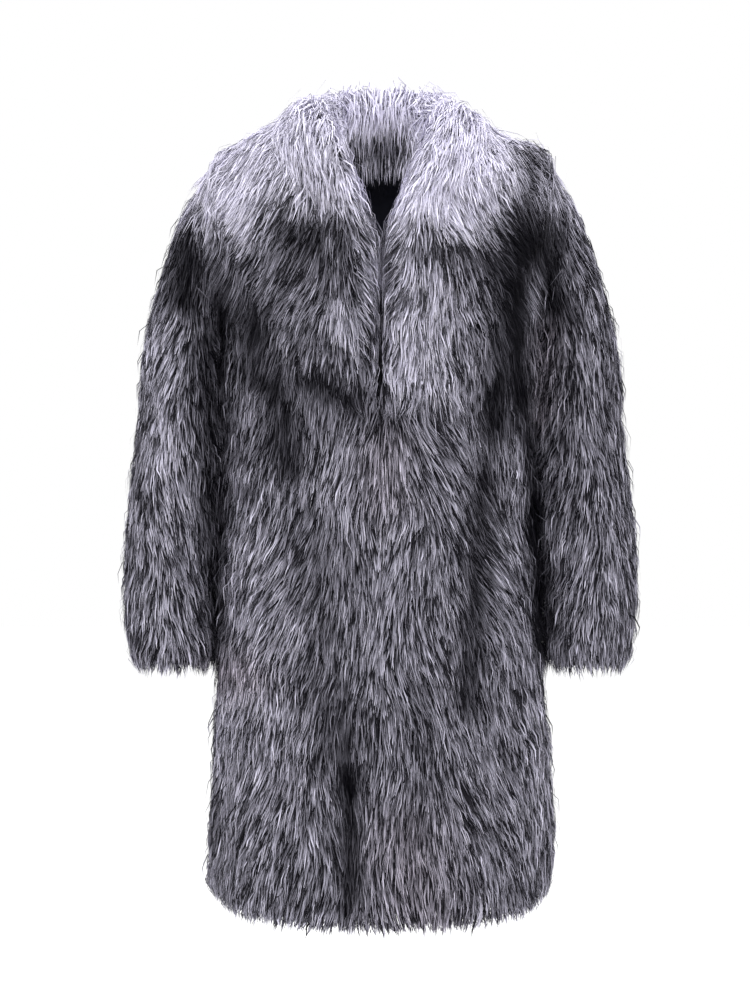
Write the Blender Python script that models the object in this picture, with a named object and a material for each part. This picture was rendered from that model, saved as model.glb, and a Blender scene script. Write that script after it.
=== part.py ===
"""A long faux fur coat in its worn shape, with no wearer inside.

+Z is up, the coat faces -Y, and the wearer's left is +X. The origin lies in the neck hole, level
with the shoulder seams, where the shoulders carry the coat. Sizes are in metres.

Every piece is one wall. Its inner face is the skin, the backing that the pile is knitted into, and
its outer face is where the laid pile ends, so the wall is as thick as the fur really is. Each wall
is a loft between sections, and neighbours take their seam from the same points.
"""

import math

import bmesh
import bpy
from mathutils import Vector

# Driving sizes
HEM = -0.992
HEM_RISES_AT_SIDES = 0.030
SHOULDER_START = -0.22  # below this the body wall hangs straight
UPPER_SPAN = 0.24  # metres of height for one unit of rise below the shoulder start
RIDGE_Y = 0.012  # the shoulder seam lies a little behind the middle
RIDGE_PEAK = 0.045
RIDGE_SLOPE = 0.42
RIDGE_ROUNDING = 0.03
SQUARENESS = 2.35  # exponent of the body's oval sections
NECK_HALF_WIDTH = 0.067
FRONT_NECK_DROP = -0.118
FRONT_NECK_CURVE = 1.3
BACK_NECK_CURVE = 3
BACK_NECK_HEIGHT = 0.0
NECK_POINT_DROP = 0.004  # the neckline meets the shoulder seam this far below the ridge
ARMPIT = -0.290
WIDTH_PASSES = 6
NECKLINE_PASSES = 8

PILE = 0.022
SIDE_PILE = 0.019
SLEEVE_PILE = 0.017
NECK_PILE = 0.012
COLLAR_PILE = 0.026
PILE_UNEVENNESS = 0.0016
# The waves of that unevenness: radians a metre along x, y and z, and phase
PILE_WAVES = (
    (71, 0, 23, 0),
    (0, 83, -31, 2),
    (19, 0, 57, 4),
)
FREE_EDGE_LEFT = 0.2  # share of the pile that is left on a free edge
# Where the pile goes from its plain depth to the side's, the armhole's and the neck's
SIDE_SINES = (0.75, 1.0)  # sine of the angle from the centre line
ARMHOLE_SINES = (0.80, 0.90)
ARMHOLE_RISES = (-0.65, -0.30)
NECK_DISTANCES = (0.030, 0.0)  # sideways past the neckline
NECK_RISES = (0.05, 0.30)

SEAM_GAP = 0.0003
LAY_GAP = 0.0030  # under the collar, where it lies on the body

# The body's skin: height, half width, depth in front of the middle, depth behind it
BODY_SECTIONS = (
    (-1.020, 0.2055, 0.152, 0.150),
    (-0.900, 0.2060, 0.150, 0.148),
    (-0.800, 0.2010, 0.145, 0.144),
    (-0.700, 0.1950, 0.139, 0.138),
    (-0.600, 0.1860, 0.131, 0.130),
    (-0.500, 0.1810, 0.126, 0.122),
    (-0.400, 0.1800, 0.126, 0.118),
    (-0.300, 0.1825, 0.130, 0.121),
    (-0.200, 0.1920, 0.133, 0.126),
    (-0.100, 0.2160, 0.133, 0.128),
    (0.000, 0.2360, 0.133, 0.128),
    (0.060, 0.2400, 0.133, 0.128),
)

# Soft folds that run down the body: angle from the centre front, height where it is deepest,
# half length, depth, half width in degrees
BODY_FOLDS = (
    (41, -0.72, 0.40, 0.048, 9),
    (-37, -0.66, 0.36, 0.040, 8),
    (-12, -0.90, 0.20, 0.036, 6),
    (14, -0.84, 0.24, 0.026, 6),
    (-68, -0.86, 0.24, 0.036, 8),
    (66, -0.92, 0.18, 0.028, 7),
    (112, -0.84, 0.30, 0.036, 9),
    (148, -0.72, 0.38, 0.046, 10),
    (180, -0.90, 0.24, 0.032, 9),
    (-146, -0.78, 0.34, 0.044, 10),
    (-110, -0.88, 0.24, 0.032, 9),
)

# The sleeve's skin: height, middle sideways, middle fore and aft, half width, half depth
SLEEVE_SECTIONS = (
    (-0.335, 0.2590, 0.006, 0.0385, 0.0600),
    (-0.380, 0.2620, 0.004, 0.0405, 0.0610),
    (-0.430, 0.2655, 0.000, 0.0425, 0.0610),
    (-0.480, 0.2695, -0.006, 0.0430, 0.0595),
    (-0.530, 0.2725, -0.013, 0.0425, 0.0575),
    (-0.580, 0.2740, -0.021, 0.0410, 0.0550),
    (-0.620, 0.2725, -0.028, 0.0390, 0.0525),
    (-0.650, 0.2690, -0.033, 0.0370, 0.0505),
    (-0.674, 0.2660, -0.036, 0.0360, 0.0495),
)
# Creases round the bent elbow: height, depth, half height
ELBOW_CREASES = (
    (-0.395, 0.0030, 0.016),
    (-0.455, 0.0036, 0.018),
    (-0.545, 0.0026, 0.017),
)
CREASE_TURN = 0.8  # the creases are deepest at this turn, on the inner front of the elbow

# Where the columns of a front stand, as shares of the way from its edge to the side seam
NECK_COLUMN = 0.24
SHOULDER_COLUMN = 0.70
FRONT_NECK_SHARES = (0.0, 0.10, 0.24, 0.42, 0.62, 0.82)  # of the way to the neck column
BACK_NECK_SHARES = (0.66, 0.33, 0.0)
ARMHOLE_STEPS = 8
SHOULDER_STEPS = 5
HEM_ROWS = (0.0, 0.004, 0.012, 0.025, 0.045)  # metres above the hem, where the pile rounds in
HEM_ROUNDING = 0.045
STRAIGHT_ROWS = 8
UPPER_ROWS = 9
ROW_SPLIT = -0.41  # rows are level up to here, then fan out to the neck, shoulder and armhole

FRONT_EDGE_ROUNDING = 0.014
FRONT_EDGE_LEFT = 0.7  # share of the pile left at the closing, where the edges are held together

SLEEVE_HEAD_STEPS = (0.0, 0.04, 0.10, 0.18, 0.28, 0.40, 0.54, 0.69, 0.85, 1.0)
SEAM_FAN_RINGS = 3
SLEEVE_HANG = (0.75, -0.66)  # sideways and down, the way the sleeve leaves the armhole
LEAST_LEAVE = 0.1
LEAVING_REACH = (0.007, 0.044)  # of the sleeve head's curve: at the armpit, at the shoulder
ARRIVING_REACH = (0.030, 0.125)
SLEEVE_RINGS_BELOW = (
    -0.365, -0.395, -0.425, -0.455, -0.485, -0.515, -0.545, -0.575,
    -0.605, -0.630, -0.648, -0.660, -0.668, -0.674,
)
CUFF_ROUNDING = 0.034

# The collar, from its lowest front corner round to the centre back.
# Its foot on the body: distance sideways, rise
COLLAR_FOOT = (
    (0.0030, -0.383),
    (0.0030, -0.260),
    (0.0030, -0.130),
    (0.0030, 0.000),
    (0.0036, 0.130),
    (0.0100, 0.240),
    (0.0280, 0.365),
    (0.0480, 0.520),
    (0.0640, 0.745),
    (0.0695, 1.000),
    (0.0660, 1.140),
    (0.0540, 1.245),
    (0.0300, 1.315),
    (0.0000, 1.345),
)
# Its outer edge on the body: distance sideways, rise
COLLAR_EDGE = (
    (0.0660, -0.425),
    (0.0900, -0.350),
    (0.1110, -0.220),
    (0.1320, -0.070),
    (0.1520, 0.090),
    (0.1720, 0.240),
    (0.1870, 0.400),
    (0.1970, 0.620),
    (0.2020, 0.840),
    (0.2030, 1.000),
    (0.1970, 1.180),
    (0.1680, 1.460),
    (0.1060, 1.700),
    (0.0000, 1.780),
)
# Height of the stand and radius of the roll at the same places
COLLAR_STAND = (
    (0.0030, 0.0015),
    (0.0030, 0.0015),
    (0.0030, 0.0015),
    (0.0036, 0.0018),
    (0.0050, 0.0024),
    (0.0080, 0.0040),
    (0.0120, 0.0060),
    (0.0140, 0.0080),
    (0.0140, 0.0100),
    (0.0150, 0.0110),
    (0.0260, 0.0120),
    (0.0420, 0.0120),
    (0.0560, 0.0120),
    (0.0600, 0.0120),
)
COLLAR_COLUMNS = 21
COLLAR_SPAN_STEPS = 8
COLLAR_OUT_SHARE = 0.25  # the stretch of the fall that gives its direction
COLLAR_FOOT_THICKNESS = 0.013
COLLAR_STAND_STEPS = (0.0, 0.4, 0.8)
COLLAR_ROLL_STEPS = (0.0, 0.33, 0.67, 1.0)
COLLAR_ROLL_TURNS = (120, 165)  # degrees that the roll turns: in front, behind
COLLAR_ROLL_RANGE = (0.55, 0.90)  # shares of the way to the centre back between the two
COLLAR_UPRIGHT_RANGE = (0.45, 0.80)  # where the stand turns from the body's normal to upright
COLLAR_SQUARENESS = 0.6  # how nearly the stand is square to the fall
COLLAR_FALL_STEPS = (0.06, 0.15, 0.26, 0.38, 0.50, 0.62, 0.74, 0.85, 0.93, 0.98, 1.0)
COLLAR_EDGE_ROUNDING = 0.030
COLLAR_LANDINGS = (0.30, 0.50)  # share of the fall by which it has come down: in front, behind
COLLAR_LEAN = 0.40  # how far the stand leans in towards the neck
COLLAR_LEAN_STAND = 0.02  # height of a stand that leans so far
COLLAR_FALL_LEAN = 0.32
COLLAR_ROLL_LIFT = 0.3  # share of the roll's radius that lifts the fall
COLLAR_PILE_REACH = 0.035  # distance from the foot over which the pile gets its depth
COLLAR_CORNER = 0.004  # distance from its lower end to the first row
COLLAR_ROUNDED = 0.36  # length from its lower end to the centre back, for the end's rounding

FUR_COLOUR = (0.17, 0.165, 0.19)
COLLAR_COLOUR = (0.42, 0.41, 0.47)
FUR_ROUGHNESS = 0.85


def blend(a, b, share):
    """The value or point that lies this share of the way from a to b."""
    return a + (b - a) * share


def ramp(value, start=0.0, end=1.0):
    """0 up to the start, 1 from the end, and a smooth step between. The end may be the lower."""
    share = min(max((value - start) / (end - start), 0.0), 1.0)
    return share * share * (3 - 2 * share)


def smooth_row(table, at, key=None):
    """The table's row at a place between its rows, by a cubic through its four nearest ones.

    With a key the place is a value of the rows' first column, and otherwise a row number."""
    if key is not None:
        steps = [row[0] for row in table]
        at = min(max(at, min(steps)), max(steps))
        low = next(
            (i for i in range(len(steps) - 2) if (steps[i + 1] - at) * (steps[-1] - steps[0]) >= 0),
            len(steps) - 2,
        )
        share = (at - steps[low]) / (steps[low + 1] - steps[low])
    else:
        low = min(int(at), len(table) - 2)
        share = at - low
    before = table[max(low - 1, 0)]
    after = table[min(low + 2, len(table) - 1)]
    values = []
    for p0, p1, p2, p3 in zip(before, table[low], table[low + 1], after):
        curve = 2 * p1 + (p2 - p0) * share
        curve += (2 * p0 - 5 * p1 + 4 * p2 - p3) * share**2
        curve += (3 * p1 - p0 - 3 * p2 + p3) * share**3
        values.append(curve / 2)
    return values


# ---------------------------------------------------------------- the body's skin


def ridge_height(x):
    """Height of the shoulder seam at this distance from the middle."""
    return RIDGE_PEAK - RIDGE_SLOPE * math.hypot(x, RIDGE_ROUNDING)


def height_at(x, rise):
    """Height of the body wall: level below the shoulder start, then an arc up to the ridge."""
    if rise <= 0:
        return SHOULDER_START + rise * UPPER_SPAN
    return SHOULDER_START + (ridge_height(x) - SHOULDER_START) * math.sin(rise * math.pi / 2)


def rise_at(height, x=0.0):
    """The rise that gives this height. On the shoulder it depends on x too."""
    if height <= SHOULDER_START:
        return (height - SHOULDER_START) / UPPER_SPAN
    share = (height - SHOULDER_START) / (ridge_height(x) - SHOULDER_START)
    return math.asin(min(share, 1.0)) / (math.pi / 2)


def fold_depth(angle, height):
    """Share by which a section shrinks inside the folds."""
    depth = 0.0
    for centre, middle, half_length, deep, half_width in BODY_FOLDS:
        turn = (math.degrees(angle) - centre + 180) % 360 - 180
        along = (height - middle) / half_length
        depth += deep * math.exp(-((turn / half_width) ** 2)) * math.exp(-(along**4))
    return depth


def angle_at(x, height):
    """Angle round the body, from the centre front, of a front point at x."""
    half_width = smooth_row(BODY_SECTIONS, height, key=True)[1]
    across = min(abs(x) / half_width, 1.0)
    along = (1 - across**SQUARENESS) ** (1 / SQUARENESS)
    return math.copysign(math.atan2(across, along), x)


def skin(angle, rise):
    """A point of the body's skin. Angle 0 is the centre front and pi the centre back. Past a rise of
    1 the point comes down the other side of the shoulder."""
    if rise > 1:
        angle, rise = math.copysign(math.pi - abs(angle), angle), 2 - rise
    sine, cosine = math.sin(angle), math.cos(angle)
    reach = (abs(sine) ** SQUARENESS + abs(cosine) ** SQUARENESS) ** (-1 / SQUARENESS)
    x = 0.0
    for _ in range(WIDTH_PASSES):  # width depends on height, and near the shoulder height on x
        height = height_at(x, rise)
        _, half_width, front, back = smooth_row(BODY_SECTIONS, height, key=True)
        x = half_width * reach * sine
    if rise <= 0:
        squeeze = 1 - fold_depth(angle, height)
        depth = front if cosine >= 0 else back
        return Vector((x * squeeze, -depth * reach * cosine * squeeze, height))
    start = smooth_row(BODY_SECTIONS, SHOULDER_START, key=True)
    depth = start[2] if cosine >= 0 else start[3]
    squeeze = 1 - fold_depth(angle, height)
    y = blend(RIDGE_Y, -depth * reach * cosine, math.cos(rise * math.pi / 2))
    return Vector((x * squeeze, y * squeeze, height))


def outward(angle, rise):
    """Unit normal of the body's skin, away from the wearer."""
    step = 1e-3
    across = skin(angle + step, rise) - skin(angle - step, rise)
    up = skin(angle, rise + step) - skin(angle, rise - step)
    normal = across.cross(up)
    return normal.normalized()


def uneven(point):
    """The small swell and sink of the pile from place to place."""
    waves = sum(math.sin(Vector(wave[:3]).dot(point) + wave[3]) for wave in PILE_WAVES)
    return 1 + PILE_UNEVENNESS / PILE * waves


def armhole_share(share):
    """0 at the shoulder column, 1 at the side seam."""
    return (share - SHOULDER_COLUMN) / (1 - SHOULDER_COLUMN)


def armhole_rise(share):
    """Rise of the armhole's edge at a column between the shoulder and the side seam."""
    return blend(rise_at(ARMPIT), 1.0, 1 - math.sin(armhole_share(share) * math.pi / 2))


def body_pile(angle, rise, point):
    """Pile depth on the body: fuller in front and behind, thinner at the sides, armholes and neck."""
    sine = abs(math.sin(angle))
    depth = blend(PILE, SIDE_PILE, ramp(sine, *SIDE_SINES))
    near_armhole = ramp(rise, *ARMHOLE_RISES) * ramp(sine, *ARMHOLE_SINES)
    depth = blend(depth, SLEEVE_PILE, near_armhole)
    near_neck = ramp(abs(point.x) - NECK_HALF_WIDTH, *NECK_DISTANCES) * ramp(rise, *NECK_RISES)
    return blend(depth, NECK_PILE, near_neck) * uneven(point)


def rounding(distance, radius, left=FREE_EDGE_LEFT):
    """Share of the pile that is left this far from an edge: a quarter of an oval."""
    if distance >= radius:
        return 1.0
    arc = math.sqrt(1 - (1 - max(distance, 0.0) / radius) ** 2)
    return blend(left, 1.0, arc)


def wall_point(angle, rise, hem_height, edge_distance=math.inf):
    """The skin point and the pile point of the body wall at one place."""
    base = skin(angle, rise)
    depth = body_pile(angle, rise, base)
    depth *= rounding(base.z - hem_height, HEM_ROUNDING)
    depth *= rounding(edge_distance, FRONT_EDGE_ROUNDING, FRONT_EDGE_LEFT)
    return base, base + outward(angle, rise) * depth


# ---------------------------------------------------------------- walls from sections


def add_rim(shape, skin_a, skin_b, pile_b, pile_a):
    """Closes a rim between two pairs. It takes the shorter diagonal, as the neighbour's rim does, so
    that two rims of one seam have the same form."""
    if (skin_a.co - pile_b.co).length < (skin_b.co - pile_a.co).length:
        faces = ((skin_a, skin_b, pile_b), (skin_a, pile_b, pile_a))
    else:
        faces = ((skin_a, skin_b, pile_a), (skin_b, pile_b, pile_a))
    for face in faces:
        shape.faces.new(face)


def make_wall(name, columns, material, closed=False):
    """One solid from columns of (skin point, pile point) pairs: both faces and the rims between."""
    shape = bmesh.new()
    skins = [[shape.verts.new(pair[0]) for pair in column] for column in columns]
    piles = [[shape.verts.new(pair[1]) for pair in column] for column in columns]
    last, top = len(columns), len(columns[0]) - 1
    for i in range(last if closed else last - 1):
        j = (i + 1) % last
        for k in range(top):
            shape.faces.new((skins[i][k], skins[i][k + 1], skins[j][k + 1], skins[j][k]))
            shape.faces.new((piles[i][k], piles[j][k], piles[j][k + 1], piles[i][k + 1]))
        for k in (0, top):
            add_rim(shape, skins[i][k], skins[j][k], piles[j][k], piles[i][k])
    if not closed:
        for i in (0, last - 1):
            for k in range(top):
                add_rim(shape, skins[i][k], skins[i][k + 1], piles[i][k + 1], piles[i][k])
    bmesh.ops.recalc_face_normals(shape, faces=shape.faces)
    mesh = bpy.data.meshes.new(name)
    shape.to_mesh(mesh)
    shape.free()
    mesh.shade_smooth()
    mesh.set_sharp_from_angle(angle=math.radians(50))
    mesh.materials.append(material)
    piece = bpy.data.objects.new(name, mesh)
    coat.objects.link(piece)
    return piece


def hem_at(share):
    """The hem rises a little from the centre front and the centre back to the sides."""
    return HEM + HEM_RISES_AT_SIDES * math.sin(share * math.pi / 2) ** 4


def rises_up_to(top_rise, hem_height):
    """The rows of a column: close together at the hem, level to the split, then up to its top."""
    split = rise_at(ROW_SPLIT)
    low = [rise_at(hem_height + up) for up in HEM_ROWS]
    straight = [blend(low[-1], split, (k + 1) / STRAIGHT_ROWS) for k in range(STRAIGHT_ROWS)]
    upper = [blend(split, top_rise, (k + 1) / UPPER_ROWS) for k in range(UPPER_ROWS)]
    return low + straight + upper


def neckline_rise(angle, low_point, curve):
    """Rise where a column ends at the neckline, found by stepping between its height and its x."""
    high_point = ridge_height(NECK_HALF_WIDTH) - NECK_POINT_DROP
    height, x = low_point, 0.0
    for _ in range(NECKLINE_PASSES):
        x = abs(skin(angle, rise_at(height, x)).x)
        height = blend(low_point, high_point, min(x / NECK_HALF_WIDTH, 1.0) ** curve)
    return rise_at(height, x)


def column_angle(share, side, behind):
    """Angle of a column, from its share of the way from the centre to the side seam."""
    turn = share * math.pi / 2
    return side * (math.pi - turn if behind else turn)


def column_top(share, behind):
    """Rise where a column ends: at the neckline, the shoulder seam or the armhole."""
    if share > SHOULDER_COLUMN:
        return armhole_rise(share)
    if share >= NECK_COLUMN:
        return 1.0
    if behind:
        return neckline_rise(column_angle(share, 1, True), BACK_NECK_HEIGHT, BACK_NECK_CURVE)
    return neckline_rise(column_angle(share, 1, False), FRONT_NECK_DROP, FRONT_NECK_CURVE)


def body_column(share, side, behind):
    """A column of the body wall, drawn back by half the gap from the seams that it runs along."""
    angle = column_angle(share, side, behind)
    hem = hem_at(share)
    back_or_front = 1 if behind else -1
    rises = rises_up_to(column_top(share, behind), hem)
    column = []
    for row, rise in enumerate(rises):
        edge_distance = math.inf if behind else abs(skin(angle, rise).x)
        pair = wall_point(angle, rise, hem, edge_distance)
        on_shoulder = row == len(rises) - 1 and NECK_COLUMN <= share <= SHOULDER_COLUMN
        for point in pair:
            if share == 0.0 and not behind:
                point.x = side * SEAM_GAP / 2
            if share == 1.0 or on_shoulder:
                point.y += back_or_front * SEAM_GAP / 2
        column.append(pair)
    return column


def shares_between(start, end, steps):
    return [blend(start, end, k / steps) for k in range(steps + 1)]


def make_front(name, side, material):
    """A front from the closing at the centre to the side seam."""
    neck = [NECK_COLUMN * share for share in FRONT_NECK_SHARES]
    shoulder = shares_between(NECK_COLUMN, SHOULDER_COLUMN, SHOULDER_STEPS)
    armhole = shares_between(SHOULDER_COLUMN, 1.0, ARMHOLE_STEPS)
    columns = [body_column(share, side, False) for share in neck + shoulder + armhole[1:]]
    return make_wall(name, columns, material)


def make_back(name, material):
    """The back in one piece, from side seam to side seam."""
    armhole = shares_between(1.0, SHOULDER_COLUMN, ARMHOLE_STEPS)
    shoulder = shares_between(SHOULDER_COLUMN, NECK_COLUMN, SHOULDER_STEPS)
    neck = [NECK_COLUMN * share for share in BACK_NECK_SHARES]
    half = armhole + shoulder[1:] + neck
    stations = [(1, share) for share in half] + [(-1, share) for share in half[-2::-1]]
    columns = [body_column(share, side, True) for side, share in stations]
    return make_wall(name, columns, material)


# ---------------------------------------------------------------- the sleeves


def armhole_ring(side):
    """The armhole's (skin point, pile point) pairs, from the armpit up the front and down the back."""
    up_the_front = shares_between(1.0, SHOULDER_COLUMN, ARMHOLE_STEPS)
    stations = [(share, False) for share in up_the_front]
    stations += [(share, True) for share in up_the_front[-2:0:-1]]
    return [
        wall_point(column_angle(share, side, behind), armhole_rise(share), HEM)
        for share, behind in stations
    ]


def sleeve_oval(height, turn, side, pile):
    """A point of the sleeve. Turn 0 faces the body and a quarter turn faces forward."""
    _, middle, fore, half_width, half_depth = smooth_row(SLEEVE_SECTIONS, height, key=True)
    crease = sum(
        deep * math.exp(-(((height - at) / half) ** 2)) for at, deep, half in ELBOW_CREASES
    ) * (0.5 + 0.5 * math.cos(turn - CREASE_TURN))
    x = middle - (half_width + pile - crease) * math.cos(turn)
    return Vector((side * x, fore - (half_depth + pile - crease) * math.sin(turn), height))


def bezier(p0, p1, p2, p3, t):
    """The cubic curve from p0 to p3 that p1 and p2 draw out."""
    u = 1 - t
    return p0 * u**3 + p1 * 3 * u * u * t + p2 * 3 * u * t * t + p3 * t**3


def make_sleeve(name, side, material):
    """A tube from the armhole over the shoulder and down to the cuff.

    Its pile face leaves the body's pile edge, and at the armpit it turns sharply down beside the
    body. The skin lies a pile's depth inside it, and fans round that edge from the seam."""
    ring = armhole_ring(side)
    count = len(ring)
    hang = Vector((side * SLEEVE_HANG[0], 0, SLEEVE_HANG[1]))
    lengths = [(ring[(i + 1) % count][1] - ring[i][1]).length for i in range(count)]
    turns = [2 * math.pi * sum(lengths[:i]) / sum(lengths) for i in range(count)]
    top = SLEEVE_SECTIONS[0][0]
    starts, piles = [], []
    for i, (inner, outer) in enumerate(ring):
        along = ring[(i + 1) % count][0] - ring[i - 1][0]
        seam = (outer - inner).normalized()
        away = along.cross(seam).normalized() * side
        outer_side = (1 - math.cos(turns[i])) / 2
        start = outer + away * SEAM_GAP
        leave = seam * max(hang.dot(seam), LEAST_LEAVE) + away * max(hang.dot(away), LEAST_LEAVE)
        end = sleeve_oval(top, turns[i], side, SLEEVE_PILE)
        leaving = start + leave.normalized() * blend(*LEAVING_REACH, outer_side)
        arriving = end + Vector((0, 0, blend(*ARRIVING_REACH, outer_side)))
        path = [bezier(start, leaving, arriving, end, t) for t in SLEEVE_HEAD_STEPS]
        path += [sleeve_oval(height, turns[i], side, SLEEVE_PILE) for height in SLEEVE_RINGS_BELOW]
        starts.append((inner + away * SEAM_GAP, start))
        piles.append(path)
    columns = []
    for i in range(count):
        column = [starts[i]]
        seam = starts[i][0] - starts[i][1]
        for k in range(1, len(piles[i])):
            point = piles[i][k]
            round_it = piles[(i + 1) % count][k] - piles[i - 1][k]
            down = piles[i][min(k + 1, len(piles[i]) - 1)] - piles[i][k - 1]
            inward = round_it.cross(down).normalized() * side
            turned = ramp(k / SEAM_FAN_RINGS)
            inward = blend(seam.normalized(), inward, turned).normalized()
            full = blend(seam.length, SLEEVE_PILE * uneven(point), turned)
            skin_point = point + inward * full
            left = rounding(point.z - SLEEVE_RINGS_BELOW[-1], CUFF_ROUNDING)
            column.append((skin_point, blend(skin_point, point, left)))
        columns.append(column)
    return make_wall(name, columns, material, closed=True)


# ---------------------------------------------------------------- the collar


def on_body(x, rise, side, lift):
    """A point over the body's pile, lifted along the normal, and that normal."""
    flat_rise = rise if rise <= 1 else 2 - rise
    angle = angle_at(x, height_at(x, flat_rise))
    if rise > 1:
        angle = math.pi - angle
    angle *= side
    base = skin(angle, flat_rise)
    normal = outward(angle, flat_rise)
    return base + normal * (body_pile(angle, flat_rise, base) + lift), normal


def make_collar(name, side, material):
    """Half the collar: a stand on the neckline, a roll, and a fall that lies on the body."""
    rows = len(COLLAR_FOOT) - 1
    grid, first_edge = [], []
    for c in range(COLLAR_COLUMNS):
        at = rows * c / (COLLAR_COLUMNS - 1)
        foot_x, foot_rise = smooth_row(COLLAR_FOOT, at)
        edge_x, edge_rise = smooth_row(COLLAR_EDGE, at)
        stand, roll = smooth_row(COLLAR_STAND, at)
        foot_x, edge_x = max(foot_x, SEAM_GAP / 2), max(edge_x, SEAM_GAP / 2)

        def across(share):
            """A point that lies this share of the way over the body, and the normal there."""
            x = blend(foot_x, edge_x, share)
            return on_body(x, blend(foot_rise, edge_rise, share), side, LAY_GAP)

        inner, normal = across(0.0)
        line = [across(share)[0] for share in shares_between(0.0, 1.0, COLLAR_SPAN_STEPS)]
        span = sum((b - a).length for a, b in zip(line, line[1:]))
        foot_share = COLLAR_FOOT_THICKNESS / span
        foot, _ = across(foot_share)
        out = (across(COLLAR_OUT_SHARE)[0] - inner).normalized()
        up = blend(normal, Vector((0, 0, 1)), ramp(at / rows, *COLLAR_UPRIGHT_RANGE))
        up -= out * up.dot(out) * COLLAR_SQUARENESS
        up -= out * COLLAR_LEAN * ramp(stand / COLLAR_LEAN_STAND)
        up.normalize()
        out = (out - up * out.dot(up)).normalized()
        path = [foot + up * stand * step for step in COLLAR_STAND_STEPS]
        centre = foot + up * stand + out * roll
        roll_turn = blend(*COLLAR_ROLL_TURNS, ramp(at / rows, *COLLAR_ROLL_RANGE))
        for step in COLLAR_ROLL_STEPS:
            angle = math.radians(roll_turn * step)
            path.append(centre - out * roll * math.cos(angle) + up * roll * math.sin(angle))
        start = foot_share + 2 * roll / span
        fall_up = (up + out * COLLAR_FALL_LEAN).normalized()
        landing = blend(*COLLAR_LANDINGS, ramp(at / rows, *COLLAR_ROLL_RANGE))
        for step in COLLAR_FALL_STEPS:
            share = blend(start, 1.0, step)
            lifted = (stand + COLLAR_ROLL_LIFT * roll) * ramp(step, landing, 0.0)
            point, _ = across(share)
            path.append(point + fall_up * lifted)
        grid.append(path)
        first_edge.append(inner)
    columns = []
    for c, path in enumerate(grid):
        at = rows * c / (COLLAR_COLUMNS - 1)
        column = []
        length = [0.0]
        for a, b in zip(path, path[1:]):
            length.append(length[-1] + (b - a).length)
        for k, point in enumerate(path):
            if k == 0:
                column.append((point, first_edge[c]))
                continue
            along = path[min(k + 1, len(path) - 1)] - path[k - 1]
            before, after = grid[max(c - 1, 0)], grid[min(c + 1, len(grid) - 1)]
            normal = (after[k] - before[k]).cross(along).normalized() * -side
            if c == len(grid) - 1:  # the centre back seam lies in the plane of symmetry
                normal.x = 0.0
                normal.normalize()
            depth = COLLAR_PILE * uneven(point)
            depth = blend(COLLAR_FOOT_THICKNESS, depth, ramp(length[k] / COLLAR_PILE_REACH))
            depth *= rounding(length[-1] - length[k], COLLAR_EDGE_ROUNDING)
            depth *= rounding(COLLAR_CORNER + at / rows * COLLAR_ROUNDED, COLLAR_EDGE_ROUNDING)
            column.append((point, point + normal * depth))
        columns.append(column)
    return make_wall(name, columns, material)


# ---------------------------------------------------------------- build


def fur_material(name, colour):
    """A plain rough material in the fur's middle tone."""
    material = bpy.data.materials.new(name)
    material.use_nodes = True
    shader = material.node_tree.nodes["Principled BSDF"]
    shader.inputs["Base Color"].default_value = (*colour, 1.0)
    shader.inputs["Roughness"].default_value = FUR_ROUGHNESS
    shader.inputs["Metallic"].default_value = 0.0
    return material


for leftover in list(bpy.data.objects):
    bpy.data.objects.remove(leftover)
coat = bpy.data.collections.new("faux_fur_coat")
bpy.context.scene.collection.children.link(coat)

body_fur = fur_material("body_fur", FUR_COLOUR)
collar_fur = fur_material("collar_fur", COLLAR_COLOUR)
make_front("front_left", 1, body_fur)
make_front("front_right", -1, body_fur)
make_back("back", body_fur)
make_sleeve("sleeve_left", 1, body_fur)
make_sleeve("sleeve_right", -1, body_fur)
make_collar("collar_left", 1, collar_fur)
make_collar("collar_right", -1, collar_fur)
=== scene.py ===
# %% [markdown]
# # A long faux fur coat
#
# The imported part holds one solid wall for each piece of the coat: two fronts, the back, two
# sleeves and two collar halves. Each wall's inner face is the backing cloth and its outer face is
# where the laid pile ends. This script dresses each wall with what it stands for: a thin backing
# cloth with its lining, and the pile itself as tapered locks and hairs that grow from the backing
# and fill the wall up to its outer face.
#
# A real one is knitted: acrylic pile is locked into a knitted backing, brushed one way, sheared
# and tipped with a paler dye, then cut from the wrong side so that no hair is lost at the seams.

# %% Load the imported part
import bpy
import numpy as np
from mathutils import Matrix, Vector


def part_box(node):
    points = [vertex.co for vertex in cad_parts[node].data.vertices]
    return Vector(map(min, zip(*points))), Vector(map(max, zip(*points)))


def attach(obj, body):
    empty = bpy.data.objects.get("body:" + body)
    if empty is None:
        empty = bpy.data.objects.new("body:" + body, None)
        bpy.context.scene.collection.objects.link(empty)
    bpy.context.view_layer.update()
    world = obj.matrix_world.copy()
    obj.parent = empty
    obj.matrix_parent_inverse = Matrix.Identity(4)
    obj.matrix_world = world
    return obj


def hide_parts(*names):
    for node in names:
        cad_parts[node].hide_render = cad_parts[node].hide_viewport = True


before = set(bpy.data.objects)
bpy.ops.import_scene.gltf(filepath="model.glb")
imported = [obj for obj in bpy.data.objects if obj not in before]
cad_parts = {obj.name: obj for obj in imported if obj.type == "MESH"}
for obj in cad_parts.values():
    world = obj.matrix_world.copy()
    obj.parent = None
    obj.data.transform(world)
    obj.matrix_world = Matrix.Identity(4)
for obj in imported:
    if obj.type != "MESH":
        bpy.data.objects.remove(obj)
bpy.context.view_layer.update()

# %% [markdown]
# ## Sizes
#
# The walls were lofted from a few named sizes and short tables, so the same ones give the backing
# here, only with finer steps. Lengths are in metres, and in millimetres in the tables that go
# through in_metres. The origin is in the neck hole, +Z is up and -Y in front.

# %% Sizes of the coat
def in_metres(rows, lengths=5):
    """The rows as an array, with the first columns turned from millimetres into metres."""
    table = np.array(rows, float)
    table[:, :lengths] /= 1000
    return table


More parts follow.
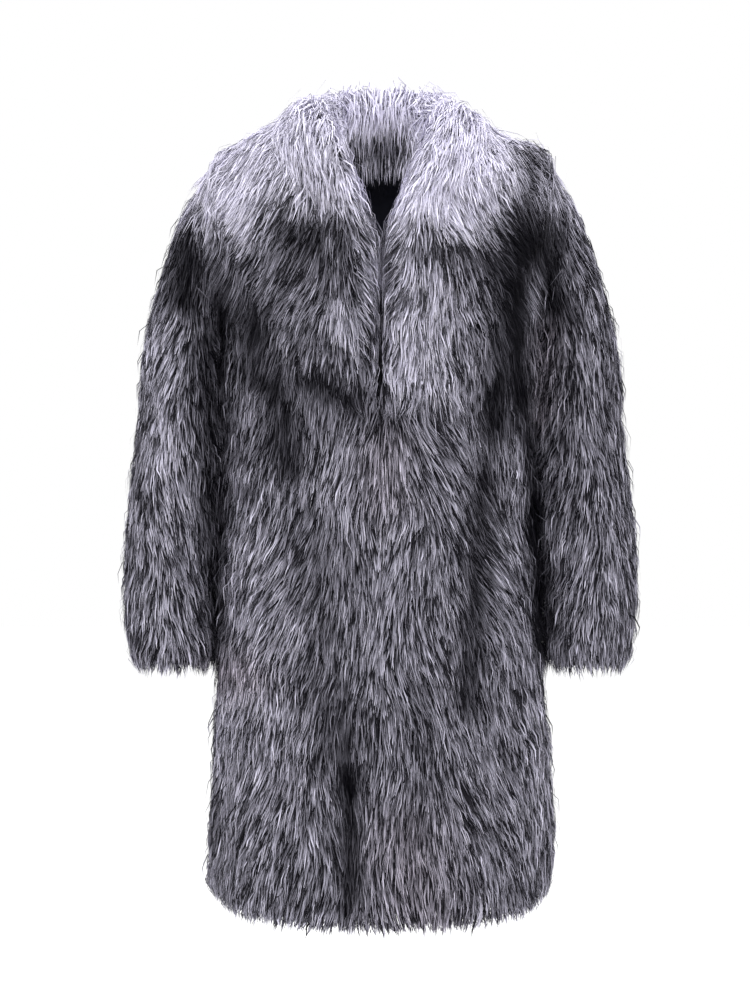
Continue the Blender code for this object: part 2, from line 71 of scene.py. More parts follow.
HEM, HEM_RISES_AT_SIDES = -0.992, 0.030
SHOULDER_START, UPPER_SPAN = -0.22, 0.24
RIDGE_Y, RIDGE_PEAK, RIDGE_SLOPE, RIDGE_ROUNDING = 0.012, 0.045, 0.42, 0.03
SQUARENESS = 2.35
NECK_HALF_WIDTH, NECK_POINT_DROP = 0.067, 0.004
FRONT_NECK, BACK_NECK = (-0.118, 1.3), (0.0, 3)  # lowest height, power of the curve
ARMPIT, ROW_SPLIT, LEVEL_SHARE = -0.290, -0.41, 0.56
NECK_COLUMN, SHOULDER_COLUMN = 0.24, 0.70
PILE, SIDE_PILE, SLEEVE_PILE, NECK_PILE, COLLAR_PILE = 0.022, 0.019, 0.017, 0.012, 0.026
PILE_UNEVENNESS = 0.0016
EDGE_LEFT, FRONT_EDGE_LEFT = 0.2, 0.7
HEM_ROUNDING, CUFF_ROUNDING, FRONT_ROUNDING, COLLAR_ROUNDING = 0.045, 0.034, 0.014, 0.030
SEAM_GAP, LAY_GAP = 0.0003, 0.0030

# The body's skin: height, half width, depth in front of the middle, depth behind it
BODY_SECTIONS = in_metres((
    (-1020, 205.5, 152, 150), (-900, 206, 150, 148), (-800, 201, 145, 144), (-700, 195, 139, 138),
    (-600, 186, 131, 130), (-500, 181, 126, 122), (-400, 180, 126, 118), (-300, 182.5, 130, 121),
    (-200, 192, 133, 126), (-100, 216, 133, 128), (0, 236, 133, 128), (60, 240, 133, 128),
), lengths=4)
# Folds down the body: angle in degrees, height where deepest, half length, depth, half width
BODY_FOLDS = (
    (41, -0.72, 0.40, 0.048, 9), (-37, -0.66, 0.36, 0.040, 8), (-12, -0.90, 0.20, 0.036, 6),
    (14, -0.84, 0.24, 0.026, 6), (-68, -0.86, 0.24, 0.036, 8), (66, -0.92, 0.18, 0.028, 7),
    (112, -0.84, 0.30, 0.036, 9), (148, -0.72, 0.38, 0.046, 10), (180, -0.90, 0.24, 0.032, 9),
    (-146, -0.78, 0.34, 0.044, 10), (-110, -0.88, 0.24, 0.032, 9),
)
# The sleeve's skin: height, middle sideways, middle fore and aft, half width, half depth
SLEEVE_SECTIONS = in_metres((
    (-674, 266, -36, 36, 49.5), (-650, 269, -33, 37, 50.5), (-620, 272.5, -28, 39, 52.5),
    (-580, 274, -21, 41, 55), (-530, 272.5, -13, 42.5, 57.5), (-480, 269.5, -6, 43, 59.5),
    (-430, 265.5, 0, 42.5, 61), (-380, 262, 4, 40.5, 61), (-335, 259, 6, 38.5, 60),
))
ELBOW_CREASES = ((-0.395, 0.0030, 0.016), (-0.455, 0.0036, 0.018), (-0.545, 0.0026, 0.017))
# The collar from its lowest front corner round to the centre back: distance sideways and rise of
# its foot, the same of its edge, height of its stand, radius of its roll
COLLAR_ROWS = np.array((
    (0.003, -0.383, 0.066, -0.425, 0.003, 0.0015), (0.003, -0.26, 0.09, -0.35, 0.003, 0.0015),
    (0.003, -0.13, 0.111, -0.22, 0.003, 0.0015), (0.003, 0.0, 0.132, -0.07, 0.0036, 0.0018),
    (0.0036, 0.13, 0.152, 0.09, 0.005, 0.0024), (0.01, 0.24, 0.172, 0.24, 0.008, 0.004),
    (0.028, 0.365, 0.187, 0.4, 0.012, 0.006), (0.048, 0.52, 0.197, 0.62, 0.014, 0.008),
    (0.064, 0.745, 0.202, 0.84, 0.014, 0.01), (0.0695, 1.0, 0.203, 1.0, 0.015, 0.011),
    (0.066, 1.14, 0.197, 1.18, 0.026, 0.012), (0.054, 1.245, 0.168, 1.46, 0.042, 0.012),
    (0.03, 1.315, 0.106, 1.7, 0.056, 0.012), (0.0, 1.345, 0.0, 1.78, 0.06, 0.012),
))
print("rows: body", len(BODY_SECTIONS), "sleeve", len(SLEEVE_SECTIONS), "collar", len(COLLAR_ROWS))

# %% [markdown]
# ## Curves
#
# Everything below works on whole arrays of places at once, so a quarter of a million strands take
# seconds.


# %% Curve helpers
UP = np.array((0.0, 0.0, 1.0))


def blend(a, b, share):
    """The value that lies this share of the way from a to b."""
    return a + (b - a) * share


def ramp(value, start=0.0, end=1.0):
    """0 up to the start, 1 from the end and 3 s^2 - 2 s^3 between, where s is the share of the way."""
    share = np.clip((value - start) / (end - start), 0.0, 1.0)
    return share * share * (3 - 2 * share)


def unit(vectors):
    """Each vector divided by its length."""
    return vectors / np.maximum(np.linalg.norm(vectors, axis=-1, keepdims=True), 1e-9)


def dot(a, b):
    """Sum of the products of the parts, kept as a column."""
    return (a * b).sum(axis=-1, keepdims=True)


def rows_at(table, at, by_first=False):
    """Columns of the table at places between its rows, by the cubic through the four nearest rows:
    half of 2 p1 + (p2 - p0) s + (2 p0 - 5 p1 + 4 p2 - p3) s^2 + (3 p1 - p0 - 3 p2 + p3) s^3. The
    place is a row number, or a value of the first column."""
    last = len(table) - 1
    if by_first:
        steps = table[:, 0]
        at = np.clip(at, steps[0], steps[-1])
        low = np.clip(np.searchsorted(steps, at, side="right") - 1, 0, last - 1)
        share = (at - steps[low]) / (steps[low + 1] - steps[low])
    else:
        low = np.minimum(np.asarray(at).astype(int), last - 1)
        share = at - low
    p0, p1 = table[np.maximum(low - 1, 0)], table[low]
    p2, p3 = table[low + 1], table[np.minimum(low + 2, last)]
    s = share[..., None]
    curve = 2 * p1 + (p2 - p0) * s + (2 * p0 - 5 * p1 + 4 * p2 - p3) * s**2
    return np.moveaxis((curve + (3 * p1 - p0 - 3 * p2 + p3) * s**3) / 2, -1, 0)


def rounding(distance, radius, left=EDGE_LEFT):
    """Share of the pile left at a distance from an edge: a quarter of an oval."""
    arc = np.sqrt(1 - (1 - np.clip(distance / radius, 0.0, 1.0)) ** 2)
    return blend(left, 1.0, arc)


def lengths_down(points):
    """Length from the first row of a grid, down each of its columns."""
    steps = np.linalg.norm(np.diff(points, axis=1), axis=-1)
    return np.concatenate([np.zeros((len(points), 1)), steps.cumsum(axis=1)], axis=1)


def even_rows(length, *grids):
    """The grids with their rows moved to equal steps of length, by straight lines between rows."""
    nu, nv = length.shape
    column = np.arange(nu)[:, None]
    wanted = length[:, -1:] * np.linspace(0.0, 1.0, nv)
    key = (length + 10.0 * column).ravel()  # the 10 keeps the columns apart in one sorted row
    row = np.searchsorted(key, (wanted + 10.0 * column).ravel(), side="right") - 1
    row = np.clip(row.reshape(nu, nv) - column * nv, 0, nv - 2)
    share = (wanted - length[column, row]) / np.maximum(length[column, row + 1] - length[column, row], 1e-9)
    shares = (share if grid.ndim == 2 else share[..., None] for grid in grids)
    return [blend(grid[column, row], grid[column, row + 1], s) for grid, s in zip(grids, shares)]


print("a ramp at a quarter, a half and three quarters:", ramp(np.array((0.25, 0.5, 0.75))))

# %% [markdown]
# ## Strokes and waves
#
# Creases, dark patches and the lean of the fur are placed with the same soft stroke, drawn
# on the coat as it is seen from the front. Sums of sine waves make the small unevenness.


# %% Strokes and waves
def near_strokes(points, strokes):
    """Sum of soft strokes, seen from the front. Each row is x, z of one end, x, z of the other,
    radius and strength; a point gets the strength times exp(-(distance / radius)^2)."""
    x, z = points[..., 0], points[..., 2]
    total = np.zeros_like(x)
    for x0, z0, x1, z1, radius, strength in strokes:
        length2 = max((x1 - x0) ** 2 + (z1 - z0) ** 2, 1e-9)
        along = np.clip(((x - x0) * (x1 - x0) + (z - z0) * (z1 - z0)) / length2, 0.0, 1.0)
        distance2 = (x - blend(x0, x1, along)) ** 2 + (z - blend(z0, z1, along)) ** 2
        total = total + strength * np.exp(-distance2 / radius**2)
    return total


def in_front(points):
    """1 in front of the coat's middle, 0 behind it, and a soft change at the sides."""
    return ramp(points[..., 1], 0.03, -0.03)


def front_or_back(points, front, back):
    """The front's strokes in front and the back's behind."""
    share = in_front(points)
    return near_strokes(points, front) * share + near_strokes(points, back) * (1 - share)


def waves(points, table):
    """Sum of strength times sin(place . turns + start), turns being radians a metre."""
    return sum(strength * np.sin(points @ np.array(turns) + start) for strength, turns, start in table)


print("a stroke of strength 1 at its end and one radius off:",
      near_strokes(np.array(((0.0, 0.0, 0.0), (0.0, 0.0, 0.1))), [(0.0, 0.0, 0.2, 0.0, 0.1, 1.0)]).round(3))

# %% [markdown]
# ## The body's skin
#
# Angle 0 is the centre front and pi the centre back. The rise is a height below the shoulder and an
# arc up to the shoulder seam above it.


# %% Body skin
SKIN_ROUNDS, NECKLINE_ROUNDS = 6, 8  # in which a height and its distance out, found in turn, settle
UNEVEN_WAVES = ((1, (71, 0, 23), 0), (1, (0, 83, -31), 2), (1, (19, 0, 57), 4))
# over which the pile thins: |sin(angle)| at the sides; rise and |sin(angle)| at the armholes;
# metres from the neck's point and rise at the neck
AT_SIDES, ARMHOLE_RISES, ARMHOLE_SINES = (0.75, 1.0), (-0.65, -0.30), (0.80, 0.90)
NECK_REACH, NECK_RISES = (0.030, 0.0), (0.05, 0.30)


def ridge_height(x):
    """Height of the shoulder seam: peak - slope times sqrt(x^2 + rounding^2)."""
    return RIDGE_PEAK - RIDGE_SLOPE * np.hypot(x, RIDGE_ROUNDING)


def height_at(x, rise):
    """Start + rise times span up to the shoulder's start, then start + (ridge - start) sin(rise pi/2)."""
    above = SHOULDER_START + (ridge_height(x) - SHOULDER_START) * np.sin(np.clip(rise, 0, 1) * np.pi / 2)
    return np.where(rise <= 0, SHOULDER_START + rise * UPPER_SPAN, above)


def rise_at(height, x=0.0):
    """The rise that gives this height."""
    share = (height - SHOULDER_START) / (ridge_height(x) - SHOULDER_START)
    above = np.arcsin(np.clip(share, 0.0, 1.0)) / (np.pi / 2)
    return np.where(height <= SHOULDER_START, (height - SHOULDER_START) / UPPER_SPAN, above)


def fold_depth(angle, height):
    """Sum over the folds of depth times exp(-(turn / half width)^2) exp(-(way along / half length)^4)."""
    depth = np.zeros_like(angle + height)
    for centre, middle, half_length, deep, half_width in BODY_FOLDS:
        turn = (np.degrees(angle) - centre + 180) % 360 - 180
        along = (height - middle) / half_length
        depth = depth + deep * np.exp(-((turn / half_width) ** 2) - along**4)
    return depth


def skin(angle, rise):
    """Points of the body's backing: an oval of power SQUARENESS at the height, drawn to the ridge
    line by the cosine of the rise above the shoulder's start, less the folds."""
    sine, cosine = np.sin(angle), np.cos(angle)
    reach = (np.abs(sine) ** SQUARENESS + np.abs(cosine) ** SQUARENESS) ** (-1 / SQUARENESS)
    x = np.zeros_like(angle + rise)
    for _ in range(SKIN_ROUNDS):
        height = height_at(x, rise)
        _, half_width, front, back = rows_at(BODY_SECTIONS, height, by_first=True)
        x = half_width * reach * sine
    start = rows_at(BODY_SECTIONS, np.array(SHOULDER_START), by_first=True)
    depth = np.where(rise <= 0, np.where(cosine >= 0, front, back), np.where(cosine >= 0, start[2], start[3]))
    gather = np.cos(np.clip(rise, 0, 1) * np.pi / 2)
    y = blend(RIDGE_Y * (rise > 0), -depth * reach * cosine, gather)
    squeeze = 1 - fold_depth(angle, height)
    return np.stack([x * squeeze, y * squeeze, height + 0 * x], axis=-1)


def outward(angle, rise, step=1e-3):
    """Unit normal: the cross product of the skin's change with angle and its change with rise."""
    across = skin(angle + step, rise) - skin(angle - step, rise)
    up = skin(angle, rise + step) - skin(angle, rise - step)
    return unit(np.cross(across, up))


def uneven(points):
    """1 + unevenness / pile times the sum of three sine waves over the place."""
    return 1 + PILE_UNEVENNESS / PILE * waves(points, UNEVEN_WAVES)


def body_pile(angle, rise, points):
    """Pile depth on the body: fuller in front and behind, thinner at sides, armholes and neck."""
    sine = np.abs(np.sin(angle))
    depth = blend(PILE, SIDE_PILE, ramp(sine, *AT_SIDES))
    depth = blend(depth, SLEEVE_PILE, ramp(rise, *ARMHOLE_RISES) * ramp(sine, *ARMHOLE_SINES))
    near_neck = ramp(np.abs(points[..., 0]) - NECK_HALF_WIDTH, *NECK_REACH) * ramp(rise, *NECK_RISES)
    return blend(depth, NECK_PILE, near_neck) * uneven(points)


print("half width of the skin at the waist:", skin(np.array(np.pi / 2), np.array(-0.9))[0].round(3))

# %% [markdown]
# ## A piece as a grid
#
# Each piece is a grid of skin points with the pile's lift above them. Hair needs to find its way
# over that grid, so the class also says how far a place lies along it, and what change of place
# gives a metre of travel in some direction.


# %% Surface class
class Surface:
    """A piece's skin over a grid of places (u, v), each from 0 to 1, and the lift of its full pile.
    The share left is what the rounding of a free edge keeps of it. Past an edge the skin runs on
    straight and the lift stays as it is at the edge."""

    def __init__(self, name, skin_points, lift, left, closed=False):
        self.name, self.skin, self.lift, self.left, self.closed = name, skin_points, lift, left, closed
        self.kind, self.side = name.split("_")[0], -1 if name.endswith("right") else 1
        nu, nv = skin_points.shape[:2]
        self.furred = np.ones((nu, nv))  # share of the full number of hairs
        self.to_free_edge = np.ones((nu, nv))  # metres down the hair to a hem or cuff
        self.cloth_ends = (0.0, 1.0)  # v where the backing starts and ends
        self.softness = 0.4  # hair keeps this power of the share that the rounded edge leaves
        self.droop = (1.5, 0.0, 1.5, 0.0)  # shares of -Z and of the lift before v 0, and past v 1
        self.middle = skin_points + lift * 0.5
        self.du = np.gradient(self.middle, axis=0) * (nu - 1)
        self.dv = np.gradient(self.middle, axis=1) * (nv - 1)
        self.across = lengths_down(self.middle.transpose(1, 0, 2)).T
        self.along = lengths_down(self.middle)

    def inside(self, u, v):
        """The nearest place on the piece."""
        return (u % 1.0 if self.closed else np.clip(u, 0.0, 1.0)), np.clip(v, 0.0, 1.0)

    def sample(self, grid, u, v):
        """The grid between its points: the mean of the four nearest, weighted by nearness."""
        if grid.ndim == 2:
            grid = grid[..., None]
        nu, nv = grid.shape[:2]
        u, v = self.inside(u, v)
        a, b = u * (nu - 1), v * (nv - 1)
        i, j = np.minimum(a.astype(int), nu - 2), np.minimum(b.astype(int), nv - 2)
        s, t = (a - i)[:, None], (b - j)[:, None]
        low = grid[i, j] * (1 - s) + grid[i + 1, j] * s
        high = grid[i, j + 1] * (1 - s) + grid[i + 1, j + 1] * s
        return low * (1 - t) + high * t

    def value(self, grid, u, v):
        """The same for a grid of single numbers."""
        return self.sample(grid, u, v)[:, 0]

    def point(self, u, v, height):
        """Skin + lift times the share left times the height. Past an edge it runs on straight, and
        past the first or last row it droops: -Z and the lift are added to the tangent there."""
        inner_u, inner_v = self.inside(u, v)
        over_u = 0.0 * u if self.closed else u - inner_u
        lift = self.sample(self.lift, u, v)
        past = self.sample(self.dv, u, v) * (v - inner_v)[:, None]
        far = np.linalg.norm(past, axis=1, keepdims=True)
        droop, inward = np.where((v < 0)[:, None], self.droop[:2], self.droop[2:]).T[..., None]
        way = unit(past) - UP * droop + unit(lift) * inward
        past = unit(way) * far + self.sample(self.du, u, v) * over_u[:, None]
        lift = lift * self.sample(self.left, u, v) ** self.softness
        return self.sample(self.skin, u, v) + past + lift * height[:, None]

    def cell_areas(self, grid):
        """Half the length of the cross product of each cell's diagonals."""
        rising, falling = grid[1:, 1:] - grid[:-1, :-1], grid[1:, :-1] - grid[:-1, 1:]
        return np.linalg.norm(np.cross(rising, falling), axis=-1) / 2

    def roots(self, count, rng):
        """Places spread over the area. Cells are drawn by their share of the summed furred area."""
        nu, nv = self.skin.shape[:2]
        furred = (self.furred[1:, 1:] + self.furred[:-1, :-1]) / 2
        total = (self.cell_areas(self.middle) * furred).ravel().cumsum()
        pick = (np.arange(count) + rng.random(count)) / count * total[-1]
        cell = np.minimum(np.searchsorted(total, pick), total.size - 1)
        i, j = np.divmod(cell, nv - 1)
        return (i + rng.random(count)) / (nu - 1), (j + rng.random(count)) / (nv - 1)

    def towards(self, u, v, direction):
        """Change of u and v for a metre of travel. With a and b the skin's changes along u and v, the
        direction's share of each solves the two equations that its products with a and b give."""
        a, b = self.sample(self.du, u, v), self.sample(self.dv, u, v)
        aa, ab, bb = dot(a, a), dot(a, b), dot(b, b)
        pa, pb = dot(a, direction), dot(b, direction)
        det = np.maximum(aa * bb - ab * ab, 1e-12)
        x, y = (pa * bb - pb * ab) / det, (pb * aa - pa * ab) / det
        length = np.maximum(np.linalg.norm(a * x + b * y, axis=-1, keepdims=True), 1e-6)
        return (x / length)[:, 0], (y / length)[:, 0]

    def skin_area(self):
        """Area of the skin."""
        return self.cell_areas(self.skin).sum()


test_grid = np.stack([*np.meshgrid((0.0, 1.0), (0.0, 2.0), indexing="ij"), np.zeros((2, 2))], axis=-1)
test_sheet = Surface("test", test_grid, UP + 0 * test_grid, np.ones((2, 2)))
print("area of a test sheet of 1 by 2 m:", test_sheet.skin_area())

# the hair's tips pass the cloth's hem by this, and the cuff's by a share of it
CLOTH_SHORT, CUFF_SHARE = 0.024, 0.7
# metres over which the fur starts from the body's hem and from a cuff
HEM_FUR, CUFF_FUR = (0.008, 0.024), (0.008, 0.022)

# %% [markdown]
# ## Creases
#
# Fur hides small wrinkles, but the main creases of a worn coat still show: the pile sinks and opens
# along them, so the dark roots come through. Each is placed as a soft trough.
# The back and the hidden sides get similar ones of their own.

# %% Crease tables
# the shade tables further down also paint shade along these creases
# x, z of the upper end, x, z of the lower end, half width, depth
FRONT_CREASES = in_metres((
    (115, -350, 120, -740, 16, 6), (90, -400, 108, -560, 10, 4), (-134, -300, -118, -420, 16, 5.5),
    (-78, -480, -60, -640, 18, 3.5), (-62, -680, -36, -800, 16, 4.5), (-38, -800, -38, -960, 12, 6),
    (56, -780, 48, -930, 12, 3.5), (-176, -700, -190, -900, 14, 4.5), (173, -320, 190, -460, 8, 6),
    (190, -460, 197, -640, 8, 8),
), lengths=6)
BACK_CREASES = in_metres((
    (0, -330, 4, -640, 16, 4), (-106, -360, -122, -700, 16, 5.5), (112, -420, 106, -760, 17, 5.5),
    (52, -700, 60, -930, 14, 4.5), (-58, -760, -48, -940, 13, 5), (170, -300, 128, -380, 14, 4.5),
    (-170, -310, -124, -400, 14, 4.5),
), lengths=6)
# Round the elbows, the same on front and back: x for the wearer's left sleeve
SLEEVE_CREASES = in_metres((
    (216, -340, 262, -365, 12, 4), (228, -440, 290, -425, 11, 3), (226, -560, 276, -545, 11, 3),
    (244, -110, 270, -200, 14, 3.5),
), lengths=6)


def creased(points, normals, strokes):
    """The points moved inwards along their normals by the strokes' depth."""
    return points - normals * near_strokes(points, strokes)[..., None]


for place, creases in (("front", FRONT_CREASES), ("back", BACK_CREASES), ("sleeve", SLEEVE_CREASES)):
    print(place, "creases:", len(creases), "deepest, mm:", 1000 * creases[:, -1].max())


# %% [markdown]
# ## Fronts and back
#
# A column runs from the hem to the neckline, shoulder seam or armhole. Its share is 0 at the centre
# line and 1 at the side seam.


# %% Body panels
COLLAR_COVERS = (0.016, 0.036)  # metres inside the collar's edge over which hidden fur is left out


def armhole_rise(share):
    """Rise of the armhole's edge: the armpit's, growing with 1 - sin of the share of a quarter turn."""
    turn = (share - SHOULDER_COLUMN) / (1 - SHOULDER_COLUMN) * np.pi / 2
    return blend(rise_at(np.array(ARMPIT)), 1.0, 1 - np.sin(turn))


def neckline_rise(angle, low_point, curve):
    """Rise where a column meets the neckline, whose height grows with a power of the distance out."""
    high_point = ridge_height(NECK_HALF_WIDTH) - NECK_POINT_DROP
    height, x = np.full_like(angle, low_point), np.zeros_like(angle)
    for _ in range(NECKLINE_ROUNDS):
        x = np.abs(skin(angle, rise_at(height, x))[..., 0])
        height = blend(low_point, high_point, np.minimum(x / NECK_HALF_WIDTH, 1.0) ** curve)
    return rise_at(height, x)


def under_collar(x, rise):
    """0 outside the collar's edge and near it, and 1 well inside it. The rise goes on past 1 down
    the back."""
    edge_x = np.interp(rise, COLLAR_ROWS[:, 3], COLLAR_ROWS[:, 2])
    above_end = (rise - COLLAR_ROWS[0, 3]) * UPPER_SPAN
    return ramp(np.minimum(edge_x - x, above_end), *COLLAR_COVERS)


def body_panel(name, shares, behind, rows=150):
    """Grid of a front or of the back, from the hem at v 0 to its upper edge at v 1."""
    side = np.sign(shares + 1e-12)
    size = np.abs(shares)
    turn = size * np.pi / 2
    angle = side * (np.pi - turn if behind else turn)
    neck = neckline_rise(np.abs(angle), *(BACK_NECK if behind else FRONT_NECK))
    top = np.where(size < NECK_COLUMN, neck, 1.0)
    top = np.where(size > SHOULDER_COLUMN, armhole_rise(np.maximum(size, SHOULDER_COLUMN)), top)
    hem = HEM + HEM_RISES_AT_SIDES * np.sin(turn) ** 4
    v = np.linspace(0.0, 1.0, rows)[None, :]
    low, split = rise_at(hem)[:, None], float(rise_at(np.array(ROW_SPLIT)))
    rise = np.where(
        v < LEVEL_SHARE,
        blend(low, split, v / LEVEL_SHARE),
        blend(split, top[:, None], (v - LEVEL_SHARE) / (1 - LEVEL_SHARE)),
    )
    angle = angle[:, None] + 0 * rise
    points, normals = skin(angle, rise), outward(angle, rise)
    depth = body_pile(angle, rise, points)
    left = rounding(points[..., 2] - hem[:, None], HEM_ROUNDING)
    if not behind:
        left = left * rounding(np.abs(points[..., 0]), FRONT_ROUNDING, FRONT_EDGE_LEFT)
    points = creased(points, normals, BACK_CREASES if behind else FRONT_CREASES)
    panel = Surface(name, points, normals * depth[..., None], left)
    panel.to_free_edge = panel.along
    panel.furred = 1 - under_collar(np.abs(points[..., 0]), 2 - rise if behind else rise)
    panel.furred = panel.furred * ramp(panel.to_free_edge, *HEM_FUR)
    panel.cloth_ends = (CLOTH_SHORT / panel.along[:, -1].mean(), 1.0)
    return panel


front_left = body_panel("front_left", np.linspace(0.0006, 1.0, 70), False)
front_right = body_panel("front_right", np.linspace(-0.0006, -1.0, 70), False)
back = body_panel("back", np.linspace(1.0, -1.0, 131), True)
for surface in (front_left, front_right, back):
    print(surface.name, "skin area", round(surface.skin_area(), 3), "m2")

# %% [markdown]
# ## Sleeves
#
# A sleeve is a tube. Its pile face leaves the pile edge of the armhole on a curve, then follows the
# oval sections down the arm to the cuff; the skin lies a pile's depth inside it.


# %% Sleeves
HEAD_STEPS, ARM_STEPS, RING_STEPS = 26, 70, 20
HEAD_FAN, HEAD_SPACING = 0.18, 1.3  # share over which the skin turns from the seam; power of steps
# outwards and up: the way in which the cloth leaves the armhole, and the least of each part of it
SLEEVE_HANG, LEAST_LEAVE = (0.75, -0.66), 0.1
HEAD_PULLS, ARM_PULLS = (0.007, 0.044), (0.030, 0.125)  # of the curve's ends: under the arm, on top
CREASE_TURN = 0.8  # radians round the sleeve, where its creases are deepest


def sleeve_oval(height, turn, side, pile):
    """Oval ring of the sleeve, less the elbow's creases."""
    _, middle, fore, half_width, half_depth = rows_at(SLEEVE_SECTIONS, height, by_first=True)
    crease = sum(deep * np.exp(-(((height - at) / half) ** 2)) for at, deep, half in ELBOW_CREASES)
    crease = crease * (0.5 + 0.5 * np.cos(turn - CREASE_TURN))
    x = middle - (half_width + pile - crease) * np.cos(turn)
    y = fore - (half_depth + pile - crease) * np.sin(turn)
    return np.stack([side * x, y, height + 0 * x], axis=-1)


def sleeve_panel(name, side):
    """Grid of a sleeve, once round in u and from the armhole at v 0 to the cuff at v 1."""
    up = np.linspace(1.0, SHOULDER_COLUMN, RING_STEPS + 1)
    share = np.concatenate([up, up[-2:0:-1]])
    behind = np.arange(share.size) > RING_STEPS
    angle = side * np.where(behind, np.pi - share * np.pi / 2, share * np.pi / 2)
    rise = armhole_rise(share)
    inner = skin(angle, rise)
    outer = inner + outward(angle, rise) * body_pile(angle, rise, inner)[:, None]
    steps = np.linalg.norm(np.roll(outer, -1, axis=0) - outer, axis=-1)
    turn = 2 * np.pi * np.concatenate([[0.0], steps.cumsum()[:-1]]) / steps.sum()
    round_it = np.roll(inner, -1, axis=0) - np.roll(inner, 1, axis=0)
    seam = unit(outer - inner)
    away = unit(np.cross(round_it, seam)) * side
    far_side = ((1 - np.cos(turn)) / 2)[:, None]
    start = outer + away * SEAM_GAP
    hang = np.array((side * SLEEVE_HANG[0], 0.0, SLEEVE_HANG[1]))
    leave = sum(way * np.maximum(dot(way, hang), LEAST_LEAVE) for way in (seam, away))
    top = np.full_like(turn, SLEEVE_SECTIONS[-1, 0])
    end = sleeve_oval(top, turn, side, SLEEVE_PILE)
    p1 = start + unit(leave) * blend(*HEAD_PULLS, far_side)
    p2 = end + UP * blend(*ARM_PULLS, far_side)
    t = np.linspace(0.0, 1.0, HEAD_STEPS)[None, :, None] ** HEAD_SPACING
    head = (
        start[:, None] * (1 - t) ** 3 + p1[:, None] * 3 * (1 - t) ** 2 * t
        + p2[:, None] * 3 * (1 - t) * t**2 + end[:, None] * t**3
    )
    heights = np.linspace(SLEEVE_SECTIONS[-1, 0], SLEEVE_SECTIONS[0, 0], ARM_STEPS + 1)[None, 1:]
    arm = sleeve_oval(heights + 0 * turn[:, None], turn[:, None] + 0 * heights, side, SLEEVE_PILE)
    pile = np.concatenate([head, arm], axis=1)
    around = np.roll(pile, -1, axis=0) - np.roll(pile, 1, axis=0)
    inward = unit(np.cross(around, np.gradient(pile, axis=1))) * side
    turned = ramp(np.concatenate([t[0, :, 0], np.ones(ARM_STEPS)]) / HEAD_FAN)[None, :, None]
    seam_length = np.linalg.norm(outer - inner, axis=-1)[:, None, None]
    inward = unit(blend(-seam[:, None], inward, turned))
    full = blend(seam_length, (SLEEVE_PILE * uneven(pile))[..., None], turned)
    base = pile + inward * full
    left = rounding(pile[..., 2] - SLEEVE_SECTIONS[0, 0], CUFF_ROUNDING)
    base = creased(base, -inward, SLEEVE_CREASES * (side, 1, side, 1, 1, 1))
    loop = np.concatenate([np.arange(share.size), [0]])
    grids = [grid[loop] for grid in (base, -inward * full, left)]
    panel = Surface(name, *even_rows(lengths_down(pile[loop]), *grids), closed=True)
    panel.to_free_edge = panel.along[:, -1:] - panel.along
    panel.furred = ramp(panel.to_free_edge, *CUFF_FUR)
    panel.cloth_ends = (0.0, 1 - CUFF_SHARE * CLOTH_SHORT / panel.along[:, -1].mean())
    return panel


sleeve_left, sleeve_right = sleeve_panel("sleeve_left", 1), sleeve_panel("sleeve_right", -1)
print("sleeve skin area", round(sleeve_left.skin_area(), 3), "m2")

# %% [markdown]
# ## Collar
#
# Half the collar stands up from the neckline, rolls over and falls onto the body's pile. Its fur is
# on the inside of the stand and on the outside of the fall, as one face.


# %% Collar
COLLAR_COLUMNS, STAND_STEPS, ROLL_STEPS, FALL_STEPS = 90, 5, 9, 44
COLLAR_FOOT_THICKNESS = 0.013
UPRIGHT_WAYS, ROLLED_WAYS = (0.45, 0.80), (0.55, 0.90)  # shares of the way round: in front, behind
ROLL_DEGREES, COLLAR_LANDINGS = (120, 165), (0.30, 0.50)  # in front, behind
# how far the stand turns upright, how far it leans back, and the height under which it leans less
SQUARED_UP, LEAN_BACK, LOW_STAND = 0.6, 0.40, 0.02
# shares: top of the stand, start of the fall, lean of the way that a fall is lifted, lift by the roll
STAND_TOP, FALL_START, FALL_LEAN, ROLL_LIFT = 0.9, 0.06, 0.32, 0.3
# metres over which the pile gets thick above the foot, and how much fuller it is there behind
FOOT_REACH, FOOT_WAYS, FOOT_FULLNESS = 0.035, (0.68, 0.82), 0.8
CORNER_START, WAY_LENGTH = 0.004, 0.36  # metres of rounding from the lower corner, and all the way
SOFTNESS, DROOP, CLOTH_END = 0.8, (1.5, 1.3, 0.25, 0.0), 0.93  # as in the surface class


def on_body(x, rise, side):
    """Points over the body's pile by the lay gap, for a distance sideways and a rise, which past 1
    comes down the back, and the normals there."""
    flat = np.where(rise <= 1, rise, 2 - rise)
    half_width = rows_at(BODY_SECTIONS, height_at(x, flat), by_first=True)[1]
    across = np.minimum(np.abs(x) / half_width, 1.0)
    angle = np.arctan2(across, (1 - across**SQUARENESS) ** (1 / SQUARENESS))
    angle = side * np.where(rise > 1, np.pi - angle, angle)
    base, normal = skin(angle, flat), outward(angle, flat)
    return base + normal * (body_pile(angle, flat, base) + LAY_GAP)[..., None], normal


